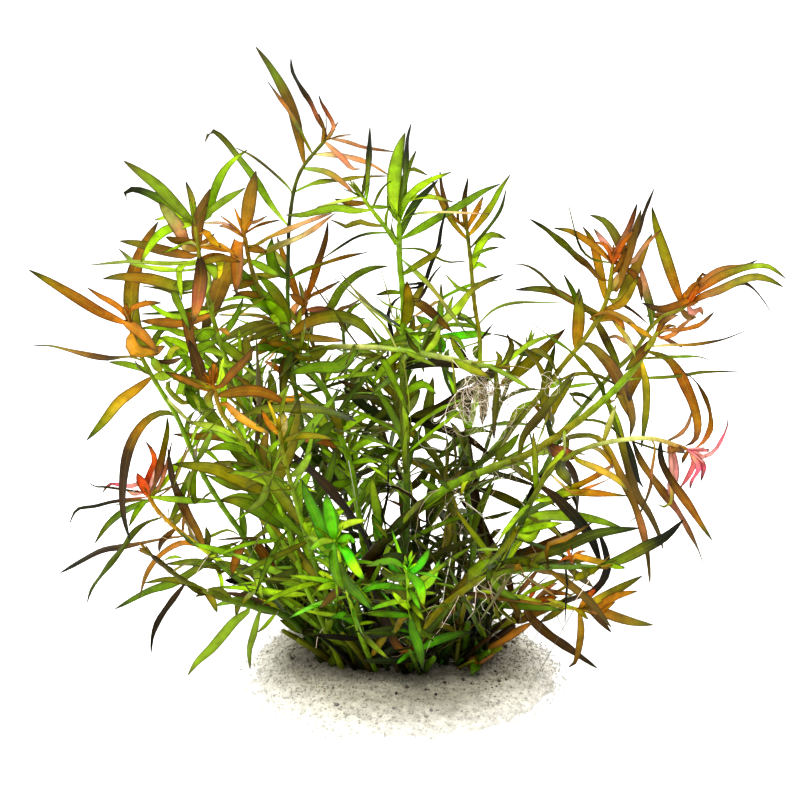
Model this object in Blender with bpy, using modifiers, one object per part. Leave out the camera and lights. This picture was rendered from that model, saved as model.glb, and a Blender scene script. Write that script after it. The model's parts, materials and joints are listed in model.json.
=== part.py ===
"""A bush of ludwigia lacustris rooted in a low patch of pale sand.

Metres, +Z up. The origin is the middle of the sand's flat underside, and -Y is the side that faces the
viewer. Stems are tapered tubes that stand in sockets in the sand. Leaves are thin pointed blades that start
just off their stem. Routes were traced by eye on a square picture of the plant, so each route point is a
place in that picture, across and down in pixels, and its depth behind the middle of the sand is given in
millimetres.
"""

import math
from collections import namedtuple

import bmesh
import bpy
from mathutils import Matrix, Vector, noise

MM = 0.001

# The sand bed
SAND_RADIUS = 67.0 * MM
SAND_DEPTH = 9.0 * MM
SAND_EDGE = 1.6 * MM
SAND_LEVEL_TO = 0.55  # share of the radius over which the top stays level
SAND_STEPS = 36
SAND_UNEVEN = 0.05  # how far the outline strays from a circle, as a share of the radius
SAND_RIPPLE = 0.7 * MM

# How a stem stands in the sand
PLANTED = 6.0 * MM
SOCKET_CLEARANCE = 0.5 * MM
SOCKET_SIDES = 8

# Tubes and blades
STEM_POINTS = 13
STEM_SIDES = 6
GAP = 0.5 * MM
LEAF_THICKNESS = 0.5 * MM
LEAF_STEPS = 8
LEAF_WIDTH = 4.0 * MM
PETIOLE_WIDTH = 0.8 * MM

# The roots that hang from the side shoot
TUFT_WIDTH = 11.0 * MM
TUFT_SIDES = 8
TUFT_SHAPE = (0.3, 0.75, 1.0, 0.95, 0.8, 0.55, 0.2)
TUFT_ROUTE = ((499, 372), (492, 392), (484, 415), (474, 438), (468, 462))

# Where the picture was traced from: 0.76 m away, a little above the plant
PICTURE_SIDE = 800.0
VIEWPOINT = Vector((-0.0016, -0.7302, 0.3124))
VIEW_TILT = math.radians(15.0)
VIEW_SPREAD = 36.0 / 85.0  # width of the picture at a distance of one

# Colours, as the eye sees them
GREEN = (0.36, 0.55, 0.08)
DARK_GREEN = (0.17, 0.25, 0.06)
LIME = (0.55, 0.72, 0.12)
OLIVE = (0.42, 0.47, 0.09)
OCHRE = (0.70, 0.52, 0.14)
RUST = (0.62, 0.32, 0.12)
BROWN = (0.30, 0.20, 0.08)
ROOT = (0.78, 0.72, 0.56)
SAND = (0.87, 0.85, 0.79)
WAXY = 0.45  # roughness

Stem = namedtuple("Stem", "colour thick thin depths route")
Leaf = namedtuple("Leaf", "stem colour forward roll width route")

# Stems from the sand up: colour, width at the sand and at the tip in millimetres, depths half-way and at the
# tip, and route
STEMS = {
    "stem_tall": Stem(DARK_GREEN, 2.6, 1.4, (44, 52), (
        (352, 632), (345, 600), (330, 540), (315, 480), (301, 420), (292, 365), (288, 310),
        (288, 271), (289, 228), (294, 188), (303, 168), (327, 138))),
    "stem_left_crown": Stem(OLIVE, 2.6, 1.6, (-22, -46), (
        (344, 657), (331, 618), (316, 575), (300, 530), (284, 488), (268, 450), (251, 415),
        (235, 380), (221, 345), (211, 310), (204, 280), (199, 256), (195, 224))),
    "stem_left_arching": Stem(GREEN, 3.0, 1.6, (17, -14), (
        (378, 641), (371, 600), (364, 550), (357, 503), (348, 455), (338, 428), (326, 391),
        (311, 372), (296, 353), (286, 338), (276, 318), (264, 301), (254, 278), (244, 234))),
    "stem_left_outer": Stem(OLIVE, 2.6, 1.6, (-14, -36), (
        (333, 653), (303, 627), (286, 609), (266, 580), (245, 539), (218, 500), (205, 478),
        (190, 447), (176, 415), (161, 391), (149, 370), (136, 345), (130, 322))),
    "stem_left_green": Stem(LIME, 3.2, 2.0, (8, 2), (
        (323, 649), (306, 618), (290, 575), (276, 530), (262, 490), (245, 458), (223, 432),
        (206, 416), (193, 396), (175, 375), (152, 358))),
    "stem_left_inner": Stem(LIME, 2.6, 1.6, (-48, -74), (
        (342, 668), (328, 634), (316, 607), (303, 579), (288, 531), (275, 496), (262, 470),
        (241, 437), (228, 422), (217, 404), (213, 384))),
    "stem_left_low": Stem(OCHRE, 2.6, 1.8, (34, 38), (
        (312, 638), (300, 628), (280, 606), (250, 582), (225, 564), (203, 549), (184, 535),
        (166, 519), (153, 505), (147, 493))),
    "stem_left_creeping": Stem(BROWN, 2.8, 2.0, (-34, -54), (
        (322, 661), (306, 634), (286, 616), (266, 609), (235, 602), (209, 593), (186, 582),
        (170, 570), (151, 555))),
    "stem_left_dark": Stem(BROWN, 3.6, 1.8, (48, 62), (
        (399, 642), (386, 612), (378, 590), (370, 545), (349, 514), (326, 486), (296, 458),
        (265, 425), (240, 395), (222, 368))),
    "stem_orange_crown": Stem(OLIVE, 2.4, 1.6, (66, 88), (
        (369, 626), (364, 600), (354, 550), (346, 500), (338, 450), (330, 410), (322, 375),
        (314, 345), (307, 326), (305, 306))),
    "stem_yellow_crown": Stem(OCHRE, 2.4, 1.6, (-50, -88), (
        (356, 664), (338, 622), (318, 572), (303, 525), (290, 480), (283, 450), (279, 429))),
    "stem_centre": Stem(GREEN, 3.6, 2.2, (4, 2), (
        (401, 658), (401, 620), (404, 560), (407, 500), (406, 459), (403, 420), (403, 372),
        (404, 349), (403, 326), (403, 293), (400, 266), (399, 243), (399, 222))),
    "stem_centre_thick": Stem(OLIVE, 4.0, 2.4, (30, 24), (
        (440, 646), (449, 585), (453, 530), (448, 488), (443, 468), (425, 445), (403, 420),
        (395, 399), (393, 371), (394, 346), (398, 330))),
    "stem_centre_slim": Stem(GREEN, 3.0, 1.6, (46, 60), (
        (464, 656), (468, 615), (472, 575), (473, 530), (468, 500), (463, 470), (466, 440),
        (474, 410), (479, 376), (481, 359), (479, 333), (474, 300), (471, 266), (467, 228))),
    "stem_centre_dark": Stem(BROWN, 2.8, 1.6, (58, 74), (
        (447, 634), (436, 602), (430, 590), (415, 562), (405, 530), (405, 493), (391, 455),
        (379, 420), (370, 395))),
    "stem_slim_dark": Stem(DARK_GREEN, 2.4, 1.4, (76, 100), (
        (472, 638), (478, 600), (481, 550), (477, 500), (470, 450), (462, 411), (452, 394),
        (443, 370), (440, 348), (438, 320))),
    "stem_right_high": Stem(DARK_GREEN, 3.0, 1.8, (20, 12), (
        (430, 626), (425, 600), (424, 560), (430, 520), (441, 495), (455, 481), (475, 466),
        (493, 453), (506, 436), (530, 407), (552, 380), (575, 349), (595, 326), (604, 311),
        (613, 263))),
    "stem_right_long": Stem(LIME, 4.4, 2.4, (-16, -30), (
        (337, 636), (338, 615), (348, 588), (363, 565), (380, 544), (398, 528), (415, 510),
        (441, 490), (475, 476), (504, 462), (541, 448), (580, 419), (606, 398), (624, 379),
        (640, 362), (656, 335))),
    "stem_right_back": Stem(DARK_GREEN, 2.8, 1.8, (48, 54), (
        (480, 648), (485, 610), (495, 570), (503, 541), (513, 526), (531, 493), (545, 468),
        (564, 430), (580, 411), (602, 383), (623, 366), (644, 338), (659, 319), (688, 305))),
    "stem_right_pink": Stem(LIME, 2.6, 1.6, (-44, -62), (
        (483, 661), (492, 605), (505, 555), (520, 525), (532, 500), (545, 478), (560, 462),
        (579, 451), (599, 445), (620, 440), (645, 438), (675, 443), (689, 450))),
    "stem_right_low": Stem(OCHRE, 3.2, 1.8, (-48, -70), (
        (404, 670), (425, 630), (441, 608), (463, 591), (488, 576), (516, 571), (549, 567),
        (599, 567))),
    "stem_right_yellow": Stem(OCHRE, 2.2, 1.6, (-8, -12), (
        (456, 664), (463, 612), (474, 594), (496, 594), (519, 597), (543, 602), (559, 606),
        (579, 609))),
    "stem_front_left": Stem(GREEN, 2.2, 1.4, (-60, -84), (
        (376, 671), (362, 640), (350, 600), (341, 565), (335, 541))),
    "stem_front_right": Stem(GREEN, 2.2, 1.4, (-56, -80), (
        (424, 670), (414, 636), (409, 600), (407, 568))),
    "stem_back_left": Stem(DARK_GREEN, 2.4, 1.6, (86, 112), (
        (388, 624), (376, 590), (364, 540), (354, 480), (348, 420), (345, 360), (343, 330))),
    "stem_back_right": Stem(DARK_GREEN, 2.4, 1.6, (88, 112), (
        (456, 625), (457, 590), (466, 530), (480, 470), (495, 420), (512, 375), (528, 345))),
}

# Shoots that grow from another stem, which is named first and gives their starting depth
SIDE_SHOOTS = {
    "stem_centre_fork": ("stem_centre", Stem(GREEN, 2.0, 1.4, (-6, -14), (
        (399, 258), (396, 243), (386, 228), (368, 205), (362, 196)))),
    "stem_across": ("stem_left_arching", Stem(LIME, 2.2, 2.0, (-14, -12), (
        (303, 357), (318, 350), (333, 347), (360, 347), (392, 349), (424, 354), (456, 360),
        (475, 364), (503, 368)))),
}

# Leaves from the stem out: stem, colour, how far the tip comes forward in millimetres, how far the blade is
# turned edge-on in degrees, width in millimetres, and route
LEAVES = {
    "leaf_tall_top": Leaf("stem_tall", RUST, -4, 20, 4.4, (
        (303, 166), (297, 137), (291, 111), (274, 71), (256, 47))),
    "leaf_tall_red": Leaf("stem_tall", RUST, 10, 40, 3.4, (
        (327, 135), (319, 116), (310, 101), (296, 80), (291, 59))),
    "leaf_tall_right": Leaf("stem_tall", RUST, 16, 40, 3.4, (
        (331, 140), (346, 142), (365, 148), (395, 152))),
    "leaf_tall_long": Leaf("stem_tall", GREEN, 6, 45, 3.8, (
        (286, 225), (269, 202), (257, 181), (243, 163), (228, 142), (209, 133))),
    "leaf_crown_green": Leaf("stem_left_crown", OLIVE, 6, 20, 4.2, (
        (189, 215), (172, 195), (155, 181), (141, 172), (124, 161))),
    "leaf_crown_upright": Leaf("stem_left_crown", BROWN, 12, 20, 4.4, (
        (200, 246), (198, 229), (201, 212), (210, 189))),
    "leaf_crown_red": Leaf("stem_left_crown", RUST, 8, 20, 4.0, (
        (191, 256), (162, 250), (139, 244), (120, 241))),
    "leaf_arching_tip": Leaf("stem_left_arching", OCHRE, 4, 0, 4.8, (
        (245, 235), (242, 211), (248, 189), (256, 171))),
    "leaf_outer_orange": Leaf("stem_left_outer", RUST, 8, 20, 4.4, (
        (121, 321), (98, 313), (63, 293), (42, 279), (28, 270))),
    "leaf_outer_thin": Leaf("stem_left_outer", BROWN, -12, 60, 3.8, (
        (140, 358), (119, 358), (98, 356), (70, 351), (49, 346), (30, 346))),
    "leaf_outer_olive": Leaf("stem_left_outer", OLIVE, 10, 20, 4.4, (
        (149, 381), (132, 390), (116, 404), (104, 424), (87, 440))),
    "leaf_green_wide": Leaf("stem_left_green", OLIVE, -10, 0, 5.6, (
        (150, 355), (131, 325), (128, 285), (136, 255), (158, 222))),
    "leaf_low_long": Leaf("stem_left_low", RUST, -6, 55, 3.6, (
        (144, 497), (119, 500), (98, 504), (79, 508), (70, 523))),
    "leaf_low_curved": Leaf("stem_left_low", GREEN, 14, 50, 3.8, (
        (161, 521), (146, 522), (133, 532), (123, 546), (102, 573), (91, 589), (87, 603))),
    "leaf_low_thin": Leaf("stem_left_low", OLIVE, -14, 60, 3.8, (
        (184, 537), (168, 537), (140, 542), (119, 546), (98, 551), (60, 573))),
    "leaf_creeping_dark": Leaf("stem_left_creeping", BROWN, 8, 50, 3.6, (
        (184, 587), (171, 601), (158, 620), (152, 637), (151, 653))),
    "leaf_orange_upright": Leaf("stem_orange_crown", RUST, -4, 30, 4.2, (
        (305, 300), (313, 280), (319, 259), (327, 236), (328, 221))),
    "leaf_centre_top": Leaf("stem_centre", LIME, 2, 0, 5.2, (
        (396, 222), (393, 196), (395, 168), (399, 152), (405, 133))),
    "leaf_centre_long": Leaf("stem_centre", GREEN, -10, 30, 4.4, (
        (403, 240), (412, 230), (428, 218), (448, 212), (467, 204), (483, 191), (510, 175))),
    "leaf_fork_side": Leaf("stem_centre_fork", OLIVE, 10, 40, 4.0, (
        (364, 212), (338, 208), (320, 212), (303, 215), (286, 215))),
    "leaf_high_long": Leaf("stem_right_high", OLIVE, 14, 40, 4.0, (
        (599, 278), (582, 261), (556, 235), (530, 219))),
    "leaf_high_upright": Leaf("stem_right_high", OLIVE, -12, 20, 4.4, (
        (618, 300), (630, 276), (640, 249), (650, 235), (661, 230))),
    "leaf_back_long": Leaf("stem_right_back", OLIVE, 14, 30, 4.2, (
        (702, 290), (733, 271), (761, 266), (774, 269), (786, 279))),
    "leaf_back_wide": Leaf("stem_right_back", RUST, 4, 0, 5.0, (
        (680, 300), (668, 273), (657, 235), (652, 208))),
    "leaf_long_hanging": Leaf("stem_right_long", RUST, -6, 20, 4.4, (
        (650, 352), (666, 359), (676, 378), (690, 404), (698, 424), (692, 445))),
    "leaf_long_brown": Leaf("stem_right_long", BROWN, -22, 0, 4.8, (
        (630, 372), (626, 385), (630, 400), (634, 421), (630, 440))),
    "leaf_pink_trailing": Leaf("stem_right_pink", RUST, -4, 50, 3.8, (
        (633, 445), (639, 460), (654, 478), (672, 502), (688, 528), (697, 547), (703, 563))),
    "leaf_low_right": Leaf("stem_right_low", OLIVE, -4, 10, 4.2, (
        (603, 567), (624, 553), (643, 542), (662, 533), (680, 519))),
    "leaf_yellow_orange": Leaf("stem_right_yellow", RUST, 8, 30, 4.0, (
        (583, 609), (600, 608), (613, 613), (633, 621), (653, 625))),
    "leaf_front": Leaf("stem_front_left", LIME, 26, 20, 4.4, (
        (335, 541), (328, 550), (330, 575), (338, 600))),
}


def seen(across, down, depth):
    """The point `depth` millimetres behind the middle of the sand that shows at this place in the picture."""
    tilt_cos, tilt_sin = math.cos(VIEW_TILT), math.sin(VIEW_TILT)
    right = (across / PICTURE_SIDE - 0.5) * VIEW_SPREAD
    up = (0.5 - down / PICTURE_SIDE) * VIEW_SPREAD
    ray = Vector((right, tilt_cos + up * tilt_sin, up * tilt_cos - tilt_sin))
    return VIEWPOINT + ray * ((depth * MM - VIEWPOINT.y) / ray.y)


def sand_depth_at(place):
    """The depth in millimetres at which the sand's level top shows at this place in the picture."""
    near = seen(*place, 0.0)
    ray = near - VIEWPOINT
    return (VIEWPOINT + ray * ((SAND_DEPTH - VIEWPOINT.z) / ray.z)).y / MM


def eased(values, share):
    """The smooth curve through three values: at the start, half-way and at the end."""
    start, middle, end = values
    slope = 4.0 * middle - 3.0 * start - end
    bend = 2.0 * start + 2.0 * end - 4.0 * middle
    return start + slope * share + bend * share * share


def shares_along(points):
    """How far along the line through these points each one lies, from 0 to 1."""
    lengths = [0.0]
    for before, after in zip(points, points[1:]):
        lengths.append(lengths[-1] + (after - before).length)
    return [length / lengths[-1] for length in lengths]


def traced(route, depths):
    """A route's points in space."""
    places = [Vector(place) for place in route]
    shares = shares_along(places)
    return [seen(place.x, place.y, eased(depths, share)) for place, share in zip(places, shares)]


def smoothed(points, steps=8):
    """Many points on a smooth curve through these ones."""
    padded = [points[0] * 2 - points[1], *points, points[-1] * 2 - points[-2]]
    curve = []
    for a, b, c, d in zip(padded, padded[1:], padded[2:], padded[3:]):
        for step in range(steps):
            t = step / steps
            bend = a * 2 - b * 5 + c * 4 - d
            twist = b * 3 - a - c * 3 + d
            curve.append(b + ((c - a) * t + bend * t**2 + twist * t**3) / 2)
    return [*curve, points[-1]]


def evenly(points, count):
    """`count` points spaced evenly along the line through these ones."""
    shares = shares_along(points)
    spaced = []
    after = 1
    for step in range(count):
        share = step / (count - 1)
        while after < len(points) - 1 and shares[after] < share:
            after += 1
        before = after - 1
        part = (share - shares[before]) / (shares[after] - shares[before])
        spaced.append(points[before].lerp(points[after], part))
    return spaced


def nearest_share(route, place):
    """How far along a route, from 0 to 1, it passes nearest to this place in the picture."""
    places = [Vector(point) for point in route]
    shares = shares_along(places)
    found = []
    for i, (start, end) in enumerate(zip(places, places[1:])):
        along = end - start
        part = min(max((place - start).dot(along) / along.length_squared, 0.0), 1.0)
        share = shares[i] + part * (shares[i + 1] - shares[i])
        found.append(((place - start - along * part).length, share))
    return min(found)[1]


def depth_beside(stem, place):
    """A stem's depth where it passes nearest to this place in the picture."""
    return eased(stem.depths, nearest_share(stem.route, Vector(place)))


def distance_to(line, point):
    """How far this point is from a line of points."""
    nearest = math.inf
    for start, end in zip(line, line[1:]):
        along = end - start
        part = min(max((point - start).dot(along) / along.length_squared, 0.0), 1.0)
        nearest = min(nearest, (point - start - along * part).length)
    return nearest


def clear_of(points, line, gap):
    """The points of a curve from where it first comes this far out from a line."""
    for i, point in enumerate(points):
        if distance_to(line, point) >= gap:
            return points[i:]
    return points[-2:]


def colour_material(colour):
    name = "rgb " + " ".join(f"{value:.2f}" for value in colour)
    material = bpy.data.materials.get(name) or bpy.data.materials.new(name)
    material.use_nodes = True
    shader = material.node_tree.nodes["Principled BSDF"]
    shader.inputs["Base Color"].default_value = (*(value**2.2 for value in colour), 1.0)
    shader.inputs["Roughness"].default_value = WAXY
    shader.inputs["Metallic"].default_value = 0.0
    return material


def add_object(name, data, collection, colour):
    made = bpy.data.objects.new(name, data)
    data.materials.append(colour_material(colour))
    collection.objects.link(made)
    return made


def make_tube(name, points, radii, sides, colour, collection):
    """A tube along these points. Its width changes from point to point."""
    data = bpy.data.curves.new(name, "CURVE")
    data.dimensions = "3D"
    data.bevel_depth = max(radii)
    data.bevel_resolution = (sides - 4) // 2
    data.use_fill_caps = True
    spline = data.splines.new("POLY")
    spline.points.add(len(points) - 1)
    for knot, point, radius in zip(spline.points, points, radii):
        knot.co = (*point, 1.0)
        knot.radius = radius / max(radii)
    return add_object(name, data, collection, colour)


def make_stem(name, stem, points, collection):
    line = evenly(smoothed(points), STEM_POINTS)
    radii = [(stem.thick + (stem.thin - stem.thick) * share) * MM / 2 for share in shares_along(line)]
    make_tube(name, line, radii, STEM_SIDES, stem.colour, collection)
    return line


def planted(points):
    """A stem's points with one more below, where it ends in the sand."""
    down = (points[0] - points[1]).normalized()
    drop = points[0].z - (SAND_DEPTH - PLANTED)
    return [points[0] + down * (drop / -down.z), *points]


def make_socket(name, line, width, collection):
    """A straight cutter around the foot of a stem."""
    along = (line[1] - line[0]).normalized()
    foot = line[0] - along * SOCKET_CLEARANCE
    length = (SAND_DEPTH + PLANTED - foot.z) / along.z
    mesh = bpy.data.meshes.new(name)
    shape = bmesh.new()
    radius = width / 2 + SOCKET_CLEARANCE
    bmesh.ops.create_cone(
        shape, cap_ends=True, segments=SOCKET_SIDES, radius1=radius, radius2=radius, depth=length)
    turned = along.to_track_quat("Z", "Y").to_matrix().to_4x4()
    bmesh.ops.transform(
        shape, matrix=Matrix.Translation(foot + along * (length / 2)) @ turned, verts=shape.verts)
    shape.to_mesh(mesh)
    shape.free()
    cutter = add_object(name, mesh, collection, SAND)
    cutter.hide_render = True
    cutter.display_type = "WIRE"


def make_sand(collection, cutters):
    """A turned mound, made uneven, with a socket for each planted stem."""
    sizes = [
        (0.0, SAND_DEPTH),
        (SAND_LEVEL_TO / 2, SAND_DEPTH),
        (SAND_LEVEL_TO, SAND_DEPTH),
        (0.75, SAND_DEPTH * 0.78),
        (0.9, SAND_DEPTH * 0.45),
        (1.0, SAND_EDGE),
        (0.99, 0.0),
        (0.0, 0.0),
    ]
    mesh = bpy.data.meshes.new("sand profile")
    profile = [(share * SAND_RADIUS, 0.0, height) for share, height in sizes]
    mesh.from_pydata(profile, [(i, i + 1) for i in range(len(profile) - 1)], [])
    turned = bpy.data.objects.new("sand profile", mesh)
    collection.objects.link(turned)
    screw = turned.modifiers.new("turned", "SCREW")
    screw.steps = screw.render_steps = SAND_STEPS
    screw.use_merge_vertices = True
    screw.merge_threshold = 0.00001
    bpy.context.view_layer.update()
    graph = bpy.context.evaluated_depsgraph_get()
    solid = bpy.data.meshes.new_from_object(turned.evaluated_get(graph))
    bpy.data.objects.remove(turned)
    for vertex in solid.vertices:
        out = Vector((vertex.co.x, vertex.co.y, 0.0))
        around = out.normalized() if out.length else out
        uneven = 1.0 + 2.0 * SAND_UNEVEN * noise.noise(around * 1.4 + Vector((3.1, 0.0, 0.0)))
        vertex.co.x *= uneven
        vertex.co.y *= uneven
        if vertex.co.z > SAND_EDGE * 1.01:
            vertex.co.z += SAND_RIPPLE * noise.noise(out / SAND_RADIUS * 5.0)
    sand = add_object("sand_bed", solid, collection, SAND)
    sockets = sand.modifiers.new("sockets", "BOOLEAN")
    sockets.operation = "DIFFERENCE"
    sockets.solver = "EXACT"
    sockets.operand_type = "COLLECTION"
    sockets.collection = cutters


def blade_width(share):
    """A blade's half width at this share of its length: narrow at the stem, widest past a third, pointed."""
    swell = math.sin(math.pi * share**0.8) ** 0.7 if 0.0 < share < 1.0 else 0.0
    return max(swell, PETIOLE_WIDTH / LEAF_WIDTH * (1.0 - 0.5 * share))


def make_leaf(name, leaf, stem, line, collection):
    """A thin blade: a flat grid bent along the leaf's route, then thickened."""
    root = depth_beside(stem, leaf.route[0])
    depths = (root, root - leaf.forward * 0.4, root - leaf.forward)
    points = smoothed(traced(leaf.route, depths))
    clear = clear_of(points, line, stem.thick * MM / 2 + GAP)
    spine = evenly(clear, LEAF_STEPS + 1)
    chord = spine[-1] - spine[0]
    middle = spine[len(spine) // 2]
    across = chord.cross(middle - VIEWPOINT).normalized()
    mesh = bpy.data.meshes.new(name)
    shape = bmesh.new()
    bmesh.ops.create_grid(shape, x_segments=LEAF_STEPS, y_segments=2, size=0.5)
    for vertex in shape.verts:
        step = round((vertex.co.x + 0.5) * LEAF_STEPS)
        tangent = (spine[min(step + 1, LEAF_STEPS)] - spine[max(step - 1, 0)]).normalized()
        side = (across - tangent * across.dot(tangent)).normalized()
        side.rotate(Matrix.Rotation(math.radians(leaf.roll), 3, tangent))
        half = blade_width(step / LEAF_STEPS) * leaf.width * MM / 2
        vertex.co = spine[step] + side * (vertex.co.y * 2 * half)
    shape.to_mesh(mesh)
    shape.free()
    blade = add_object(name, mesh, collection, leaf.colour)
    thick = blade.modifiers.new("thickness", "SOLIDIFY")
    thick.thickness = LEAF_THICKNESS
    thick.offset = 0.0


def make_root_tuft(line, collection):
    """The hanging mass of hair roots as one soft spindle."""
    shoot = SIDE_SHOOTS["stem_across"][1]
    start = shoot.depths[-1]
    route = smoothed(traced(TUFT_ROUTE, (start, start, start)))
    spine = evenly(clear_of(route, line, shoot.thick * MM / 2 + 2 * GAP), len(TUFT_SHAPE))
    radii = [share * TUFT_WIDTH / 2 for share in TUFT_SHAPE]
    make_tube("root_tuft", spine, radii, TUFT_SIDES, ROOT, collection)


def build():
    for old in list(bpy.data.objects):
        bpy.data.objects.remove(old, do_unlink=True)
    plant = bpy.data.collections.new("Ludwigia bush")
    cutters = bpy.data.collections.new("Cutters")
    bpy.context.scene.collection.children.link(plant)
    bpy.context.scene.collection.children.link(cutters)

    stems = {}
    lines = {}
    for name, drawn in STEMS.items():
        stem = drawn._replace(depths=(sand_depth_at(drawn.route[0]), *drawn.depths))
        lines[name] = make_stem(name, stem, planted(traced(stem.route, stem.depths)), plant)
        make_socket(name + "_socket", lines[name], stem.thick * MM, cutters)
        stems[name] = stem
    for name, (parent, drawn) in SIDE_SHOOTS.items():
        shoot = drawn._replace(depths=(depth_beside(stems[parent], drawn.route[0]), *drawn.depths))
        points = smoothed(traced(shoot.route, shoot.depths))
        gap = (stems[parent].thick + shoot.thick) * MM / 2 + GAP
        lines[name] = make_stem(name, shoot, clear_of(points, lines[parent], gap)[::6], plant)
        stems[name] = shoot
    for name, leaf in LEAVES.items():
        make_leaf(name, leaf, stems[leaf.stem], lines[leaf.stem], plant)
    make_root_tuft(lines["stem_across"], plant)
    make_sand(plant, cutters)


build()
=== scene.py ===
"""A bush of ludwigia lacustris, rooted in a low patch of pale sand, on a white studio floor.

Sizes are in millimetres where they are turned with MM, and a route such as "303,166 297,137" is a line of
places across and down, in pixels, in an 800 x 800 picture taken by the camera below.
"""
import json
import math
import random

import bpy
import numpy as np
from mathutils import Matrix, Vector, noise


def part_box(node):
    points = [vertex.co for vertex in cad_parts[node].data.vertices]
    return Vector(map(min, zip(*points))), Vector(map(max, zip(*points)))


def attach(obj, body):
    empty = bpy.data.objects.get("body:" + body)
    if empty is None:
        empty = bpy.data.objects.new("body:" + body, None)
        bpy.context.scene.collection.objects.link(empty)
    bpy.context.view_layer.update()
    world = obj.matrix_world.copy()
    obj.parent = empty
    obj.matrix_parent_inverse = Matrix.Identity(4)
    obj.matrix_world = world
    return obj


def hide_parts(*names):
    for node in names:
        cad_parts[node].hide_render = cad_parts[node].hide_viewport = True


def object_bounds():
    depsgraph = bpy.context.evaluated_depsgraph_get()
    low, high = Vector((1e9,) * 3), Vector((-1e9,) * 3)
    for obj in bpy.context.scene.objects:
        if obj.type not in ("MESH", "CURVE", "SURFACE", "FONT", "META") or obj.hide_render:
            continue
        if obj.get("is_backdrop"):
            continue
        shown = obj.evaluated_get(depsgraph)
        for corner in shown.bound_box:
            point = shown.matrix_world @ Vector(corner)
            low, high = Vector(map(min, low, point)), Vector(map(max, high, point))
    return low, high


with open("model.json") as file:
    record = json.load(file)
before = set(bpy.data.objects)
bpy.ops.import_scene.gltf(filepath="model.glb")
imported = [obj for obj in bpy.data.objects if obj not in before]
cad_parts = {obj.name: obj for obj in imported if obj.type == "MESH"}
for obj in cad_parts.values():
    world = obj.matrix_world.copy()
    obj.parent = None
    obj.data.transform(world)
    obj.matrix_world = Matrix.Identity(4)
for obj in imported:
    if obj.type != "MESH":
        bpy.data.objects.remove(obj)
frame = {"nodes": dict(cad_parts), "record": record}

cad_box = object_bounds()

# THE STUDIO
# The plant stands on white paper under soft white light from all round, with one large lamp in front, above
# and to the left, and a second behind. The camera is 0.76 m away and looks 15 degrees down.
MM = 0.001
VIEWPOINT = Vector((-0.0016, -0.7302, 0.3124))
VIEW_TILT = math.radians(15.0)
LENS = 85.0
SENSOR = 36.0
ROOM_LIGHT = 1.08
LAMPS = (("front lamp", (-0.55, -0.60, 1.15), 20.0), ("back lamp", (0.45, 0.70, 1.00), 9.0))
LAMP_SIDE = 0.7
LAMPS_AIM = Vector((0.0, 0.0, 0.10))
FLOOR_SIDE = 60.0
FLOOR_DROP = 0.02 * MM  # keeps the paper clear of the sand's flat underside


def linear(code):
    """An sRGB hex colour as linear red, green, blue and alpha."""
    values = [int(code[i : i + 2], 16) / 255 for i in (1, 3, 5)]
    return (*(v / 12.92 if v <= 0.04045 else ((v + 0.055) / 1.055) ** 2.4 for v in values), 1.0)


def add_node(tree, kind, sockets=(), **settings):
    """Adds a shader node with its settings, and sets each socket to a value or links it to an output."""
    node = tree.nodes.new("ShaderNode" + kind)
    for name, value in settings.items():
        setattr(node, name, value)
    for socket, value in dict(sockets).items():
        if isinstance(value, bpy.types.NodeSocket):
            tree.links.new(value, node.inputs[socket])
        else:
            node.inputs[socket].default_value = value
    return node


def new_material(name):
    """An empty material, its node tree and its output."""
    material = bpy.data.materials.new(name)
    material.use_nodes = True
    tree = material.node_tree
    tree.nodes.clear()
    return material, tree, tree.nodes.new("ShaderNodeOutputMaterial")


paper, tree, output = new_material("Matt white paper")
# Uncoated paper without gloss. Its tooth is finer than this, and is drawn this coarse to show at all
tooth = add_node(tree, "TexNoise", {"Scale": 1 / (0.8 * MM), "Detail": 3.0})
press = add_node(tree, "Bump", {"Height": tooth.outputs["Fac"], "Strength": 0.05, "Distance": 0.05 * MM})
skin = add_node(tree, "BsdfPrincipled", {
    "Base Color": linear("#FCFCFA"), "Roughness": 0.9, "Normal": press.outputs[0]})
tree.links.new(skin.outputs[0], output.inputs[0])

half = FLOOR_SIDE / 2
corners = [(-half, -half, 0), (half, -half, 0), (half, half, 0), (-half, half, 0)]
floor_mesh = bpy.data.meshes.new("floor")
floor_mesh.from_pydata(corners, [], [(0, 1, 2, 3)])
floor_mesh.materials.append(paper)
floor = bpy.data.objects.new("floor", floor_mesh)
bpy.context.scene.collection.objects.link(floor)
floor.location.z = -FLOOR_DROP
floor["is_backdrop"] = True

camera = bpy.data.objects.new("camera", bpy.data.cameras.new("camera"))
bpy.context.scene.collection.objects.link(camera)
camera.data.lens = LENS
camera.data.sensor_width = SENSOR
camera.data.clip_end = 100.0
camera.location = VIEWPOINT
camera.rotation_euler = (math.pi / 2 - VIEW_TILT, 0.0, 0.0)
bpy.context.scene.camera = camera

world = bpy.data.worlds.new("soft white room")
world.use_nodes = True
world.node_tree.nodes["Background"].inputs["Color"].default_value = (1.0, 1.0, 1.0, 1.0)
world.node_tree.nodes["Background"].inputs["Strength"].default_value = ROOM_LIGHT
bpy.context.scene.world = world
bpy.context.scene.view_settings.view_transform = "Standard"
bpy.context.scene.view_settings.look = "Medium High Contrast"

for name, place, watts in LAMPS:
    lamp = bpy.data.objects.new(name, bpy.data.lights.new(name, "AREA"))
    lamp.data.size = LAMP_SIDE
    lamp.data.energy = watts
    lamp.location = place
    lamp.rotation_euler = (LAMPS_AIM - lamp.location).to_track_quat("-Z", "Y").to_euler()
    bpy.context.scene.collection.objects.link(lamp)


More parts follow.
